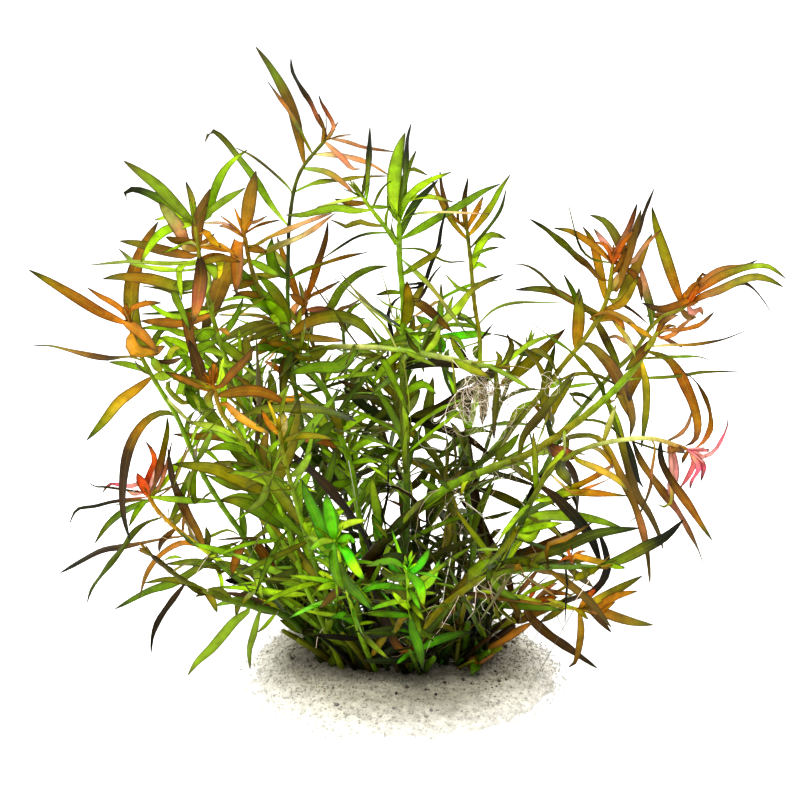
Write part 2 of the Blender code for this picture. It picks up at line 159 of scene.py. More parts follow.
# THE SAND
# A loose patch of pale quartz sand, sieved to about 1 mm, that was lifted with the roots. It is highest where
# the stems stand and thins out to single grains at its rim. A few grains are grey, brown or black.
SAND_TOP = 9.0 * MM
SAND_RIM = 0.2 * MM
SAND_OUT = (0.0, 0.55, 0.75, 0.9, 1.0)  # shares of the way out to the rim, and how high the sand is at each
SAND_LEVELS = (1.0, 1.0, 0.78, 0.43, 0.0)
SAND_RINGS = 64
SAND_SIDES = 200
RIM_RAGGED = 0.03  # the share of its reach that the rim falls short by, on average
GRAINS = 6500
STRAY_GRAINS = 0.05  # the share of them that lie loose at the rim
GRAIN_SIZE = (0.45 * MM, 1.15 * MM)
GRAIN_FLOOR = 0.02 * MM
SAND_COLOURS = (  # and how common each is; those from the fifth on are larger dark specks
    ("#BEB9A6", 46), ("#A9A390", 28), ("#8C8672", 9), ("#857250", 2.6), ("#54483A", 1.6), ("#26221C", 0.8))
# Painted shade: round the stems' feet the sand is darkened towards this colour, standing in for the bush's
# shadow on it
PAINTED_FOOT_SHADE = "#5A5346"
PAINTED_FOOT_SHADE_FADES = ((1.10, 1.75), (0.80, 0.0))  # in shares of the feet's reach, and how much of the sand it covers
THIN_SAND = "#F2EFE6"
RIM_PALES = ((0.74, 1.0), (0.0, 0.85))  # in shares of the way out to the rim, and how pale the sand gets
FOOT_MIDDLE = Vector((0.5 * MM, -4.0 * MM))  # where the stems stand, and how far that place reaches
FOOT_REACH = (34 * MM, 19 * MM)


def unique_places(node):
    """A frame node's corner points, each once, and the pairs of them that a face joins."""
    mesh = frame["nodes"][node].data
    matrix = frame["nodes"][node].matrix_world
    numbers, places = {}, []
    at = []
    for vertex in mesh.vertices:
        place = matrix @ vertex.co
        key = tuple(round(value / (0.001 * MM)) for value in place)
        if key not in numbers:
            numbers[key] = len(places)
            places.append(place)
        at.append(numbers[key])
    pairs = {(at[a], at[b]) for face in mesh.polygons for a in face.vertices for b in face.vertices if a != b}
    return places, pairs


def make_piece(name, parts, material, slot, *nodes):
    """Joins (places, faces, values) parts into one smooth mesh. The values become its points' attributes."""
    start, places, faces = 0, [], []
    for part_places, part_faces, _ in parts:
        places.append(np.asarray(part_places, dtype=float))
        faces += [tuple(number + start for number in face) for face in part_faces]
        start += len(part_places)
    mesh = bpy.data.meshes.new(name)
    mesh.from_pydata(np.concatenate(places).tolist(), [], faces)
    for key in parts[0][2]:
        values = np.concatenate([np.asarray(part[2][key], dtype=float) for part in parts])
        coloured = values.ndim == 2
        attribute = mesh.attributes.new(key, "FLOAT_COLOR" if coloured else "FLOAT", "POINT")
        attribute.data.foreach_set("color" if coloured else "value", values.ravel())
    mesh.shade_smooth()
    mesh.set_sharp_from_angle(angle=math.radians(70.0))
    mesh.materials.append(material)
    piece = bpy.data.objects.new(name, mesh)
    bpy.context.scene.collection.objects.link(piece)
    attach(piece, "root")
    if nodes:
        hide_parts(*nodes)


quartz, tree, output = new_material("Washed quartz sand")
# Water-worn grains: mostly milky white, hardly glossy, each with its own tone
tint = add_node(tree, "Attribute", attribute_name="tint")
where = add_node(tree, "TexCoord").outputs["Object"]
cloud = add_node(tree, "TexNoise", {"Vector": where, "Scale": 1 / (3.5 * MM), "Detail": 6.0})
tone = add_node(tree, "MapRange", {"Value": cloud.outputs["Fac"], 1: 0.35, 2: 0.65, 3: 0.70, 4: 0.98})
grit = add_node(tree, "TexVoronoi", {"Vector": where, "Scale": 1 / (0.7 * MM)})
fleck = add_node(tree, "SeparateColor", {"Color": grit.outputs["Color"]})
spread = add_node(tree, "MapRange", {"Value": fleck.outputs[0], 3: 0.78, 4: 1.06})
both = add_node(tree, "Math", {0: tone.outputs[0], 1: spread.outputs[0]}, operation="MULTIPLY")
toned = add_node(tree, "Mix", {0: 1.0, 6: tint.outputs["Color"], 7: both.outputs[0]},
                 data_type="RGBA", blend_type="MULTIPLY")
rough = add_node(tree, "Bump", {"Height": grit.outputs["Distance"], "Strength": 0.6, "Distance": 0.3 * MM})
skin = add_node(tree, "BsdfPrincipled", {
    "Base Color": toned.outputs[2], "Roughness": 0.75, "IOR": 1.54, "Normal": rough.outputs[0]})
tree.links.new(skin.outputs[0], output.inputs[0])

# The rim follows the frame's bed, whose outline is uneven: its lowest points, without its sockets'
bed_rim = [place for place in unique_places("sand_bed")[0]
           if place.z < 0.5 * MM and place.xy.length > 40 * MM]
bed_rim.sort(key=lambda place: math.atan2(place.y, place.x))
rim_angles = [math.atan2(place.y, place.x) for place in bed_rim]
rim_radii = [place.xy.length for place in bed_rim]


def rim_at(angle):
    """How far out the sand reaches in this direction."""
    return float(np.interp(angle, rim_angles, rim_radii, period=2 * math.pi))


def rim_share(x, y):
    """How far out a place is from the middle of the patch: 1 is its rim."""
    return math.hypot(x, y) / rim_at(math.atan2(y, x))


def foot_share(x, y):
    """How far out a place is from the middle of the stems' feet: 1 is where they end."""
    return math.hypot((x - FOOT_MIDDLE.x) / FOOT_REACH[0], (y - FOOT_MIDDLE.y) / FOOT_REACH[1])


def sand_height(x, y):
    """The height of the sand here, which is nothing past its rim."""
    share = rim_share(x, y)
    if share > 1.0:
        return 0.0
    level = SAND_RIM + (SAND_TOP - SAND_RIM) * float(np.interp(share, SAND_OUT, SAND_LEVELS))
    place = Vector((x, y, 0.0))
    mounds = 0.8 * MM * noise.noise(place / (16 * MM))
    dimples = 0.35 * MM * noise.noise(place / (4 * MM) + Vector((7, 0, 0)))
    return max(level + (mounds + dimples) * min(1.0, 4.0 * (1.0 - share)), SAND_RIM)


def sand_tint(colour, x, y):
    """A sand colour at this place: darkened round the feet by painted shade of the bush, and paler where the
    patch thins out.
    """
    # Painted shade: how much of the shade colour covers the sand here, most near the stems' feet
    darkening = float(np.interp(foot_share(x, y), *PAINTED_FOOT_SHADE_FADES))
    thin = float(np.interp(rim_share(x, y), *RIM_PALES))
    mixed = Vector(colour).lerp(Vector(linear(PAINTED_FOOT_SHADE)), darkening)
    return tuple(mixed.lerp(Vector(linear(THIN_SAND)), thin))


draw = random.Random(11)
sand_tints = [linear(code) for code, _ in SAND_COLOURS]
sand_weights = [weight for _, weight in SAND_COLOURS]
places, faces, tints = [(0.0, 0.0, sand_height(0.0, 0.0))], [], [sand_tint(sand_tints[0], 0.0, 0.0)]
for ring in range(1, SAND_RINGS + 1):
    for side in range(SAND_SIDES):
        angle = side / SAND_SIDES * 2 * math.pi
        uneven = 1 + noise.noise(Vector((angle * 9, 0, 3)))
        ragged = 1.0 - RIM_RAGGED * max(0.0, ring / SAND_RINGS - 0.8) * 5 * uneven
        out = rim_at(angle) * ring / SAND_RINGS * ragged * 0.995
        x, y = out * math.cos(angle), out * math.sin(angle)
        places.append((x, y, sand_height(x, y)))
        tints.append(sand_tint(sand_tints[0], x, y))
base = len(places)
for side in range(SAND_SIDES):
    x, y, _ = places[base - SAND_SIDES + side]
    places.append((x, y, 0.0))
    tints.append(tints[base - SAND_SIDES + side])
for side in range(SAND_SIDES):
    after = (side + 1) % SAND_SIDES
    faces.append((0, 1 + side, 1 + after))
    for ring in range(SAND_RINGS):
        inner = 1 + ring * SAND_SIDES
        outer = inner + SAND_SIDES
        faces.append((inner + side, outer + side, outer + after, inner + after))
faces.append(tuple(reversed(range(base, base + SAND_SIDES))))
make_piece("sand", [(places, faces, {"tint": tints})], quartz, "sand", "sand_bed")

# Each grain is a rough pebble of ten corners, half sunk in the patch or loose on the paper round it
PEBBLE = np.array([(1, 0, 0), (0, 1, 0), (-1, 0, 0), (0, -1, 0), (0, 0, 1), (0, 0, -1),
                   (0.6, 0.6, 0.5), (-0.6, 0.6, 0.5), (-0.6, -0.6, 0.5), (0.6, -0.6, 0.5)])
PEBBLE_FACES = [(4, 9, 6), (4, 6, 7), (4, 7, 8), (4, 8, 9), (6, 0, 1), (7, 1, 2), (8, 2, 3), (9, 3, 0),
                (9, 0, 6), (6, 1, 7), (7, 2, 8), (8, 3, 9), (5, 1, 0), (5, 2, 1), (5, 3, 2), (5, 0, 3)]
grains = []
while len(grains) < GRAINS:
    angle = draw.uniform(-math.pi, math.pi)
    share = math.sqrt(draw.uniform(0.0, 1.0))
    if draw.random() < STRAY_GRAINS:
        share = 1.0 + abs(draw.gauss(0.0, 0.03))
    x, y = (share * rim_at(angle) * turn for turn in (math.cos(angle), math.sin(angle)))
    height = sand_height(x, y)
    size = draw.uniform(*GRAIN_SIZE) / 2
    chosen = draw.choices(range(len(sand_tints)), sand_weights)[0]
    if chosen > 3:
        size *= draw.uniform(0.9, 2.0)
    facing = Vector((draw.gauss(0, 1), draw.gauss(0, 1), draw.gauss(0, 1)))
    turned = facing.to_track_quat("Z", "Y").to_matrix()
    stretch = [draw.uniform(0.75, 1.2) for _ in range(3)]
    shape = (PEBBLE * stretch * size) @ np.array(turned)
    shape += (x, y, height + size * (0.3 if height else 0.8))
    shape[:, 2] = np.maximum(shape[:, 2], GRAIN_FLOOR)
    # The grains take the same painted shade round the feet, and grow pale towards the rim
    colour = sand_tint(sand_tints[chosen], x, y)
    grains.append((shape, PEBBLE_FACES, {"tint": [colour] * len(PEBBLE)}))
make_piece("sand_grains", grains, quartz, "sand")


# THE STEMS
# Soft green herb stems, round and full of air, 1.5 to 4 mm thick. They swell a little at each joint, where
# the leaves sit, are dark and woody-looking low down, and grow greener and thinner towards the tip.
LIVING = {
    "rust": "#9A5E08", "orange": "#C47A0C", "amber": "#CC900E", "red": "#C8401A", "pink": "#E0607E",
    "salmon": "#CC9A6C", "blush": "#EBA8A4", "brown": "#6E4608", "umber": "#3C2606", "dusk": "#1A2006",
    "black": "#0E0C07", "bottle": "#324E05", "forest": "#567608", "green": "#7CA206", "bright": "#98C806",
    "neon": "#46D40A", "lime": "#BADC1E", "moss": "#6A7206", "olive": "#8E8608", "bronze": "#A07208",
    "ochre": "#BA9210", "yellow": "#E0C41E", "pale": "#BDC26A", "straw": "#D4C886", "clay": "#A85E3C",
    "flame": "#E06A1C", "vivid": "#66C408", "leafy": "#5A9C08"}
FIRST_JOINT = 9.0 * MM
JOINT_GAP = 11.0 * MM
JOINT_REACH = 1.1 * MM
JOINT_SWELL = 0.22
JOINT_STAIN = 0.35  # how much brown covers the green at a joint
STEM_STEP = 1.8 * MM
STEM_SIDES = 10
FRAME_SIDES = 6
PICTURE_SIDE = 800.0
STEM_COLOURS = {  # evenly spaced from the sand to the tip
    "stem_tall": "dusk bottle forest forest dusk moss",
    "stem_left_crown": "bottle forest green olive",
    "stem_left_arching": "green green bright green forest bronze",
    "stem_left_outer": "dusk forest forest green green olive",
    "stem_left_green": "moss forest bright green",
    "stem_left_inner": "moss green bright bronze",
    "stem_left_low": "umber moss olive lime ochre amber",
    "stem_left_creeping": "dusk bottle forest moss umber",
    "stem_left_dark": "black black umber umber moss",
    "stem_orange_crown": "dusk bottle moss umber",
    "stem_yellow_crown": "moss forest green olive",
    "stem_centre": "dusk bottle forest moss green green",
    "stem_centre_thick": "umber moss moss olive",
    "stem_centre_slim": "dusk forest green bright olive moss",
    "stem_centre_dark": "black umber umber",
    "stem_slim_dark": "black umber umber umber bottle forest",
    "stem_right_high": "dusk dusk bottle moss olive olive",
    "stem_right_long": "umber brown umber bottle green moss olive green olive",
    "stem_right_back": "dusk bottle forest forest moss olive",
    "stem_right_pink": "black dusk dusk bottle bottle moss moss pale rust",
    "stem_right_low": "umber olive olive moss forest forest",
    "stem_right_yellow": "bottle olive lime yellow",
    "stem_front_left": "forest green lime",
    "stem_front_right": "forest green bright",
    "stem_back_left": "dusk bottle forest",
    "stem_back_right": "dusk bottle moss",
    "stem_centre_fork": "green green lime",
    "stem_across": "green moss pale green pale green"}
SIDE_SHOOTS = {"stem_centre_fork": "stem_centre", "stem_across": "stem_left_arching"}


def tints_of(names):
    """The living colours of these names, each as linear red, green, blue and alpha."""
    return [np.array(linear(LIVING[name])) for name in names]


def blend(tints, share):
    """The colour at this share, from 0 to 1, of a run through evenly spaced tints."""
    place = min(max(share, 0.0), 1.0) * (len(tints) - 1)
    before = min(int(place), len(tints) - 2)
    return tints[before] + (tints[before + 1] - tints[before]) * (place - before)


def smoothed(points, steps=8):
    """Many points on a smooth curve through these ones."""
    padded = [points[0] * 2 - points[1], *points, points[-1] * 2 - points[-2]]
    curve = []
    for a, b, c, d in zip(padded, padded[1:], padded[2:], padded[3:]):
        for step in range(steps):
            t = step / steps
            bend = a * 2 - b * 5 + c * 4 - d
            twist = b * 3 - a - c * 3 + d
            curve.append(b + ((c - a) * t + bend * t**2 + twist * t**3) / 2)
    return [*curve, points[-1]]


def run_of(points):
    """How far along the line through these points each of them lies."""
    gaps = np.linalg.norm(np.diff(np.array(points, dtype=float), axis=0), axis=1)
    return np.concatenate([[0.0], np.cumsum(gaps)])


def evenly(points, count):
    """`count` points spaced evenly along the line through these ones, as an array."""
    line, run = np.array(points, dtype=float), run_of(points)
    at = np.linspace(0.0, run[-1], count)
    return np.stack([np.interp(at, run, line[:, axis]) for axis in range(3)], axis=1)


def shown_at(point):
    """The place in the picture, across and down, of a point in space."""
    away = Vector(point) - VIEWPOINT
    depth = away.y * math.cos(VIEW_TILT) - away.z * math.sin(VIEW_TILT)
    up = away.z * math.cos(VIEW_TILT) + away.y * math.sin(VIEW_TILT)
    scale = PICTURE_SIDE * LENS / SENSOR / depth
    return PICTURE_SIDE / 2 + away.x * scale, PICTURE_SIDE / 2 - up * scale


def stem_line(node, starts):
    """A stem's centreline and radii, from its tube in the frame, beginning at the end nearest to `starts`."""
    places, pairs = unique_places(node)
    beside = {number: set() for number in range(len(places))}
    for a, b in pairs:
        beside[a].add(b)
    first = min(places, key=lambda place: min((place - start).length for start in starts))
    nearest = sorted(range(len(places)), key=lambda number: (places[number] - first).length)
    ring, rings, done = set(nearest[:FRAME_SIDES]), [], set()
    while ring:
        rings.append(ring)
        done |= ring
        ring = set().union(*(beside[number] for number in ring)) - done
    line = [sum((places[number] for number in ring), Vector()) / len(ring) for ring in rings]
    radii = [sum((places[n] - middle).length for n in ring) / len(ring) for ring, middle in zip(rings, line)]
    return line, radii


def tube_faces(rings, sides):
    """The faces of a closed tube made of rings of points, with a cap at each end."""
    faces = []
    for start in range(0, (rings - 1) * sides, sides):
        for a in range(sides):
            b = (a + 1) % sides
            faces.append((start + a, start + b, start + sides + b, start + sides + a))
    return [*faces, tuple(reversed(range(sides))), tuple(range((rings - 1) * sides, rings * sides))]


def tube(line, radii, tints, sides, extra=()):
    """A closed tube along a line of points, as a part for make_piece."""
    line = np.asarray(line, dtype=float)
    along = np.gradient(line, axis=0)
    along /= np.linalg.norm(along, axis=1)[:, None]
    side = np.cross(along[0], (0.3, 0.9, 0.2))
    turned = []
    for direction in along:
        side = side - direction * side.dot(direction)
        side /= np.linalg.norm(side)
        turned.append(side.copy())
    side = np.array(turned)
    other = np.cross(along, side)
    turns = np.arange(sides) / sides * 2 * math.pi
    ring = side[:, None, :] * np.cos(turns)[None, :, None] + other[:, None, :] * np.sin(turns)[None, :, None]
    places = (line[:, None, :] + ring * np.asarray(radii)[:, None, None]).reshape(-1, 3)
    values = {"tint": np.repeat(np.asarray(tints), sides, axis=0)}
    for key, per_point in dict(extra).items():
        values[key] = np.repeat(np.asarray(per_point), sides)
    return places, tube_faces(len(line), sides), values


herb_stem, tree, output = new_material("Fresh herb stem")
# A thin waxy skin over wet green tissue: fine lengthwise ribs, darker joints, a soft gloss and a little glow
tint, joint = (add_node(tree, "Attribute", attribute_name=name) for name in ("tint", "joint"))
where = add_node(tree, "TexCoord").outputs["Object"]
blotch = add_node(tree, "TexNoise", {"Vector": where, "Scale": 1 / (5.0 * MM), "Detail": 5.0})
tone = add_node(tree, "MapRange", {"Value": blotch.outputs["Fac"], 1: 0.3, 2: 0.7, 3: 0.58, 4: 1.12})
stretched = add_node(tree, "Mapping", {"Vector": where, "Scale": (1.0, 1.0, 0.12)})
ribs = add_node(tree, "TexNoise", {"Vector": stretched.outputs[0], "Scale": 1 / (0.45 * MM), "Detail": 2.0})
rib_tone = add_node(tree, "MapRange", {"Value": ribs.outputs["Fac"], 1: 0.35, 2: 0.65, 3: 0.82, 4: 1.12})
both = add_node(tree, "Math", {0: tone.outputs[0], 1: rib_tone.outputs[0]}, operation="MULTIPLY")
toned = add_node(tree, "Mix", {0: 1.0, 6: tint.outputs["Color"], 7: both.outputs[0]},
                 data_type="RGBA", blend_type="MULTIPLY")
banded = add_node(tree, "Mix", {0: joint.outputs["Fac"], 6: toned.outputs[2], 7: linear("#4A3A12")},
                  data_type="RGBA")
ridge = add_node(tree, "Bump", {"Height": ribs.outputs["Fac"], "Strength": 0.35, "Distance": 0.15 * MM})
skin = add_node(tree, "BsdfPrincipled", {
    "Base Color": banded.outputs[2], "Roughness": 0.42, "IOR": 1.42, "Specular IOR Level": 0.3,
    "Normal": ridge.outputs[0]})
glow = add_node(tree, "BsdfTranslucent", {"Color": banded.outputs[2]})
mixed = add_node(tree, "MixShader", {0: 0.15, 1: skin.outputs[0], 2: glow.outputs[0]})
tree.links.new(mixed.outputs[0], output.inputs[0])

stems = {}
slots = {row["node"]: row["material_slot"] for row in frame["record"]["subparts"]}
for node, names in STEM_COLOURS.items():
    starts = [Vector((0.0, 0.0, -10.0))]  # far below, so that the line begins in the sand
    if node in SIDE_SHOOTS:
        starts = [Vector(point) for point in stems[SIDE_SHOOTS[node]]["points"]]
    rough_line, rough_radii = stem_line(node, starts)
    if node in SIDE_SHOOTS:  # the shoot starts inside the stem that carries it
        near = min(starts, key=lambda place: (place - rough_line[0]).length)
        rough_line, rough_radii = [near, *rough_line], [rough_radii[0], *rough_radii]
    curve = smoothed(rough_line)
    length = run_of(curve)[-1]
    points = evenly(curve, max(6, round(length / STEM_STEP)))
    shares = np.linspace(0.0, 1.0, len(points))
    radii = np.interp(shares, np.linspace(0.0, 1.0, len(rough_radii)), rough_radii)
    draw = random.Random(node)
    joints, at = [], FIRST_JOINT
    while at < length - 2 * MM:
        joints.append(at / length)
        at += JOINT_GAP * draw.uniform(0.75, 1.25) * (1.0 - 0.45 * at / length)
    off_joint = np.abs(shares[:, None] - np.array(joints)[None, :]).min(axis=1) * length
    swell = np.exp(-((off_joint / JOINT_REACH) ** 2))
    radii = radii * (1.0 + JOINT_SWELL * swell)
    radii[-1] *= 0.5
    run = tints_of(names.split())
    tints = [blend(run, share) for share in shares]
    stems[node] = {
        "points": points, "joints": joints, "picture": np.array([shown_at(point) for point in points])}
    part = tube(points, radii, tints, STEM_SIDES, {"joint": swell * JOINT_STAIN})
    make_piece(node.replace("stem_", "shoot_"), [part], herb_stem, slots[node], node)


# THE LEAVES
# Long narrow blades in opposite pairs, each pair turned a quarter round from the last, with a tuft of young
# ones at each tip. Thin wet tissue with a groove along the midrib: light shines through it.
LEAF_THICKNESS = 0.32 * MM
PETIOLE = 0.4 * MM  # half the width of a blade at its foot
LEAF_TWIST = 22.0  # degrees
LEAF_FOLD = (0.08, 0.30)
LEAF_WAVES = (1.5, 3.5)
LEAF_RIPPLE = 0.07
LEAF_SLENDER = 0.085  # the width of a blade as a share of its length
LEAF_WIDEST = 4.6 * MM
VEINS = 22
# A blade's cross-section: eight places, each as its share of the half width and its face, 1 on top
RING = ((-1.0, 0), (-0.5, 1), (0.0, 1), (0.5, 1), (1.0, 0), (0.5, -1), (0.0, -1), (-0.5, -1))

leaf_tissue, tree, output = new_material("Living leaf tissue")
# Waxy green skin on both sides of wet cells: a pale midrib, faint slanting veins, dark or reddish margins,
# blotches a few millimetres wide, a duller underside, and light from behind that shines through
tint, along, across, under, chance = (
    add_node(tree, "Attribute", attribute_name=name)
    for name in ("tint", "along", "across", "under", "chance"))
where = add_node(tree, "TexCoord").outputs["Object"]
out_from_rib = add_node(tree, "Math", {0: across.outputs["Fac"]}, operation="ABSOLUTE")
blotch = add_node(tree, "TexNoise", {"Vector": where, "Scale": 1 / (4.5 * MM), "Detail": 4.0})
tone = add_node(tree, "MapRange", {"Value": blotch.outputs["Fac"], 1: 0.3, 2: 0.7, 3: 0.62, 4: 1.25})
leaf_tone = add_node(tree, "MapRange", {"Value": chance.outputs["Fac"], 3: 0.54, 4: 1.26})
both = add_node(tree, "Math", {0: tone.outputs[0], 1: leaf_tone.outputs[0]}, operation="MULTIPLY")
toned = add_node(tree, "Mix", {0: 1.0, 6: tint.outputs["Color"], 7: both.outputs[0]},
                 data_type="RGBA", blend_type="MULTIPLY")
# Veins: one every 2 mm along the blade, slanting towards the tip, and hardly there on the darkest blades
light = add_node(tree, "RGBToBW", {0: tint.outputs["Color"]})
pale = add_node(tree, "MapRange", {"Value": light.outputs[0], 1: 0.0, 2: 0.12, 3: 0.1, 4: 1.0})
slant = add_node(tree, "Math", {0: out_from_rib.outputs[0], 1: -0.09, 2: along.outputs["Fac"]},
                 operation="MULTIPLY_ADD")
beat = add_node(tree, "Math", {0: slant.outputs[0], 1: VEINS * 2 * math.pi}, operation="MULTIPLY")
wave = add_node(tree, "Math", {0: beat.outputs[0]}, operation="SINE")
ridge = add_node(tree, "MapRange", {"Value": wave.outputs[0], 1: 0.6, 2: 1.0, 3: 0.0, 4: 0.07})
vein = add_node(tree, "Math", {0: ridge.outputs[0], 1: pale.outputs[0]}, operation="MULTIPLY")
groove = add_node(tree, "MapRange", {"Value": out_from_rib.outputs[0], 1: 0.04, 2: 0.16, 3: 0.13, 4: 0.0})
rib = add_node(tree, "Math", {0: groove.outputs[0], 1: pale.outputs[0]}, operation="MULTIPLY")
margin = add_node(tree, "MapRange", {"Value": out_from_rib.outputs[0], 1: 0.62, 2: 1.0, 3: 0.0, 4: 0.80})
point = add_node(tree, "MapRange", {"Value": along.outputs["Fac"], 1: 0.84, 2: 0.98, 3: 0.0, 4: 0.88})
fleck = add_node(tree, "TexNoise", {"Vector": where, "Scale": 1 / (1.1 * MM), "Detail": 2.0})
spot = add_node(tree, "MapRange", {"Value": fleck.outputs["Fac"], 1: 0.66, 2: 0.74, 3: 0.0, 4: 0.55})
below = add_node(tree, "Math", {0: under.outputs["Fac"], 1: 0.55}, operation="GREATER_THAN")
dulled = add_node(tree, "Math", {0: below.outputs[0], 1: 0.14}, operation="MULTIPLY")
tissue = toned
for cover, colour in ((vein, "#C4C020"), (rib, "#CBC822"), (margin, "#33260A"), (point, "#1E1A0A"),
                      (spot, "#4A2E10"), (dulled, "#B0A050")):
    tissue = add_node(tree, "Mix", {0: cover.outputs[0], 6: tissue.outputs[2], 7: linear(colour)},
                      data_type="RGBA")
lift = add_node(tree, "Math", {0: vein.outputs[0], 1: rib.outputs[0]}, operation="ADD")
grain = add_node(tree, "Math", {0: fleck.outputs["Fac"], 1: 0.5, 2: lift.outputs[0]},
                 operation="MULTIPLY_ADD")
relief = add_node(tree, "Bump", {"Height": grain.outputs[0], "Strength": 0.45, "Distance": 0.2 * MM})
gloss = add_node(tree, "MapRange", {"Value": blotch.outputs["Fac"], 3: 0.34, 4: 0.52})
skin = add_node(tree, "BsdfPrincipled", {
    "Base Color": tissue.outputs[2], "Roughness": gloss.outputs[0], "IOR": 1.45, "Specular IOR Level": 0.26,
    "Normal": relief.outputs[0]})
glow = add_node(tree, "BsdfTranslucent", {"Color": tissue.outputs[2]})
mixed = add_node(tree, "MixShader", {0: 0.38, 1: skin.outputs[0], 2: glow.outputs[0]})
tree.links.new(mixed.outputs[0], output.inputs[0])


def seen(across, down, depth):
    """The point `depth` metres behind the middle of the sand that shows at this place in the picture."""
    right = (across / PICTURE_SIDE - 0.5) * SENSOR / LENS
    up = (0.5 - down / PICTURE_SIDE) * SENSOR / LENS
    away = math.cos(VIEW_TILT) + up * math.sin(VIEW_TILT)
    rise = up * math.cos(VIEW_TILT) - math.sin(VIEW_TILT)
    ray = Vector((right, away, rise))
    return VIEWPOINT + ray * ((depth - VIEWPOINT.y) / ray.y)


def read_row(row):
    """A row of text as its route, a list of places in the picture, and the words after its bar."""
    route, facts = row.split("|")
    return [tuple(float(value) for value in pair.split(",")) for pair in route.split()], facts.split()


def nearest_point(nodes, place):
    """How many pixels from a place in the picture the nearest point of these stems shows, and that point."""
    off = {node: np.linalg.norm(stems[node]["picture"] - np.array(place), axis=1) for node in nodes}
    node = min(off, key=lambda node: off[node].min())
    number = int(off[node].argmin())
    return off[node][number], Vector(stems[node]["points"][number])


def blade(spine, side, width, tints, draw, roll=0.0, tones=(0.0, 1.0)):
    """A closed thin blade along a spine, as a part for make_piece. `side` points across it, to its right."""
    count = len(spine)
    t = np.linspace(0.0, 1.0, count)
    along = np.gradient(spine, axis=0)
    along /= np.linalg.norm(along, axis=1)[:, None]
    side = np.asarray(side, dtype=float)[None, :] - along * (along @ np.asarray(side, dtype=float))[:, None]
    side /= np.linalg.norm(side, axis=1)[:, None]
    top = np.cross(side, along)
    turn = roll + math.radians(draw.uniform(-LEAF_TWIST, LEAF_TWIST)) * (t - 0.2)
    side, top = (side * np.cos(turn)[:, None] + top * np.sin(turn)[:, None],
                 top * np.cos(turn)[:, None] - side * np.sin(turn)[:, None])
    swell = np.sin(math.pi * t**0.85) ** 0.62
    half = np.maximum(swell * width / 2, PETIOLE * (1.0 - 0.45 * t))
    fold = draw.uniform(*LEAF_FOLD)
    phase, waves = draw.uniform(0, 6.28), draw.uniform(*LEAF_WAVES)
    ripple = LEAF_RIPPLE * width * np.sin(phase + t * waves * 2 * math.pi)
    places = np.empty((count, len(RING), 3))
    for j, (u, layer) in enumerate(RING):
        rise = fold * abs(u) * half + ripple * u * swell
        thick = LEAF_THICKNESS * (0.7 if u else (0.45 if layer > 0 else 1.6 - t)) / 2
        places[:, j] = spine + side * (u * half)[:, None] + top * (rise + layer * thick)[:, None]
    colours = np.array([blend(tints, 1.15 * share - 0.1) for share in t])
    values = {
        "tint": np.repeat(colours, len(RING), axis=0),
        "along": np.repeat(t, len(RING)),
        "across": np.tile([u for u, _ in RING], count),
        "under": np.tile([(1 - layer) / 2 for _, layer in RING], count),
        "chance": np.full(count * len(RING), draw.uniform(*tones))}
    return places.reshape(-1, 3), tube_faces(count, len(RING)), values


CARRIER_WITHIN = 10.0  # pixels: a leaf that starts further from its own stems sits on the nearest of all
EDGE_CURL = 1.09  # the curled edges hide a little of a leaf's width
GROUND_ROOM = 1.2 * MM
UNDERSIDE_UP = 0.25  # the share of the drawn leaves that show their duller underside


def drawn_leaf(row, nodes, draw):
    """A leaf from a row of text: its route from the stem out | how wide it looks in mm, its colours, and how
    far its tip comes forward in mm, which is left to chance where the row doesn't say."""
    places, (looks, *names) = read_row(row)
    forward = float(names.pop()) * MM if names[-1].lstrip("-").isdigit() else draw.uniform(-8, 16) * MM
    off, root = nearest_point(nodes, places[0])
    if off > CARRIER_WITHIN:
        _, root = nearest_point(stems, places[0])
    run = run_of(places)
    front, back = cad_box[0][1] + 2 * MM, cad_box[1][1] - 2 * MM
    points = []
    for place, share in zip(places, run / run[-1]):
        depth = min(max(root.y - forward * (0.6 * share + 0.4 * share**2), front), back)
        point = seen(*place, depth)
        ground = sand_height(point.x, point.y) + 2.5 * MM
        if point.z < ground:  # it comes forward along the line of sight until it is above the ground
            point = VIEWPOINT + (point - VIEWPOINT) * ((VIEWPOINT.z - ground) / (VIEWPOINT.z - point.z))
        points.append(point)
    if (points[0] - root).length < 2.5 * MM:
        points[0] = root
    else:
        points.insert(0, root)
    curve = smoothed(points)
    length = run_of(curve)[-1]
    spine = evenly(curve, int(min(max(length / (2.6 * MM), 8), 20)))
    spine[:, 2] = [max(z, sand_height(x, y) + GROUND_ROOM) for x, y, z in spine]
    looks = float(looks) * EDGE_CURL * MM
    most = looks * (2.2 if looks > 1.8 * MM else 1.25)  # the thin ones are seen flat, not edge-on
    width = max(looks, min(LEAF_SLENDER * length + 0.5 * MM, LEAF_WIDEST, most))
    middle = Vector(spine[len(spine) // 2])
    side = (middle - VIEWPOINT).cross(Vector(spine[-1] - spine[0]))
    roll = math.acos(min(looks / width, 1.0)) * draw.choice((-1, 1))
    if draw.random() < UNDERSIDE_UP:
        roll += math.pi
    return blade(spine, side, width, tints_of(names), draw, roll, (0.4, 0.85))


# An outline in the picture where the bush is dense enough to hide what grows there: leaves that weren't drawn
# one by one stay inside it
DENSE = ((192, 300), (240, 285), (300, 300), (345, 318), (395, 300), (440, 312), (480, 335), (545, 352),
         (590, 400), (600, 440), (575, 480), (590, 530), (600, 590), (540, 625), (480, 655), (430, 668),
         (385, 668), (335, 660), (300, 630), (230, 600), (165, 560), (150, 520), (180, 470), (190, 400),
         (165, 350))
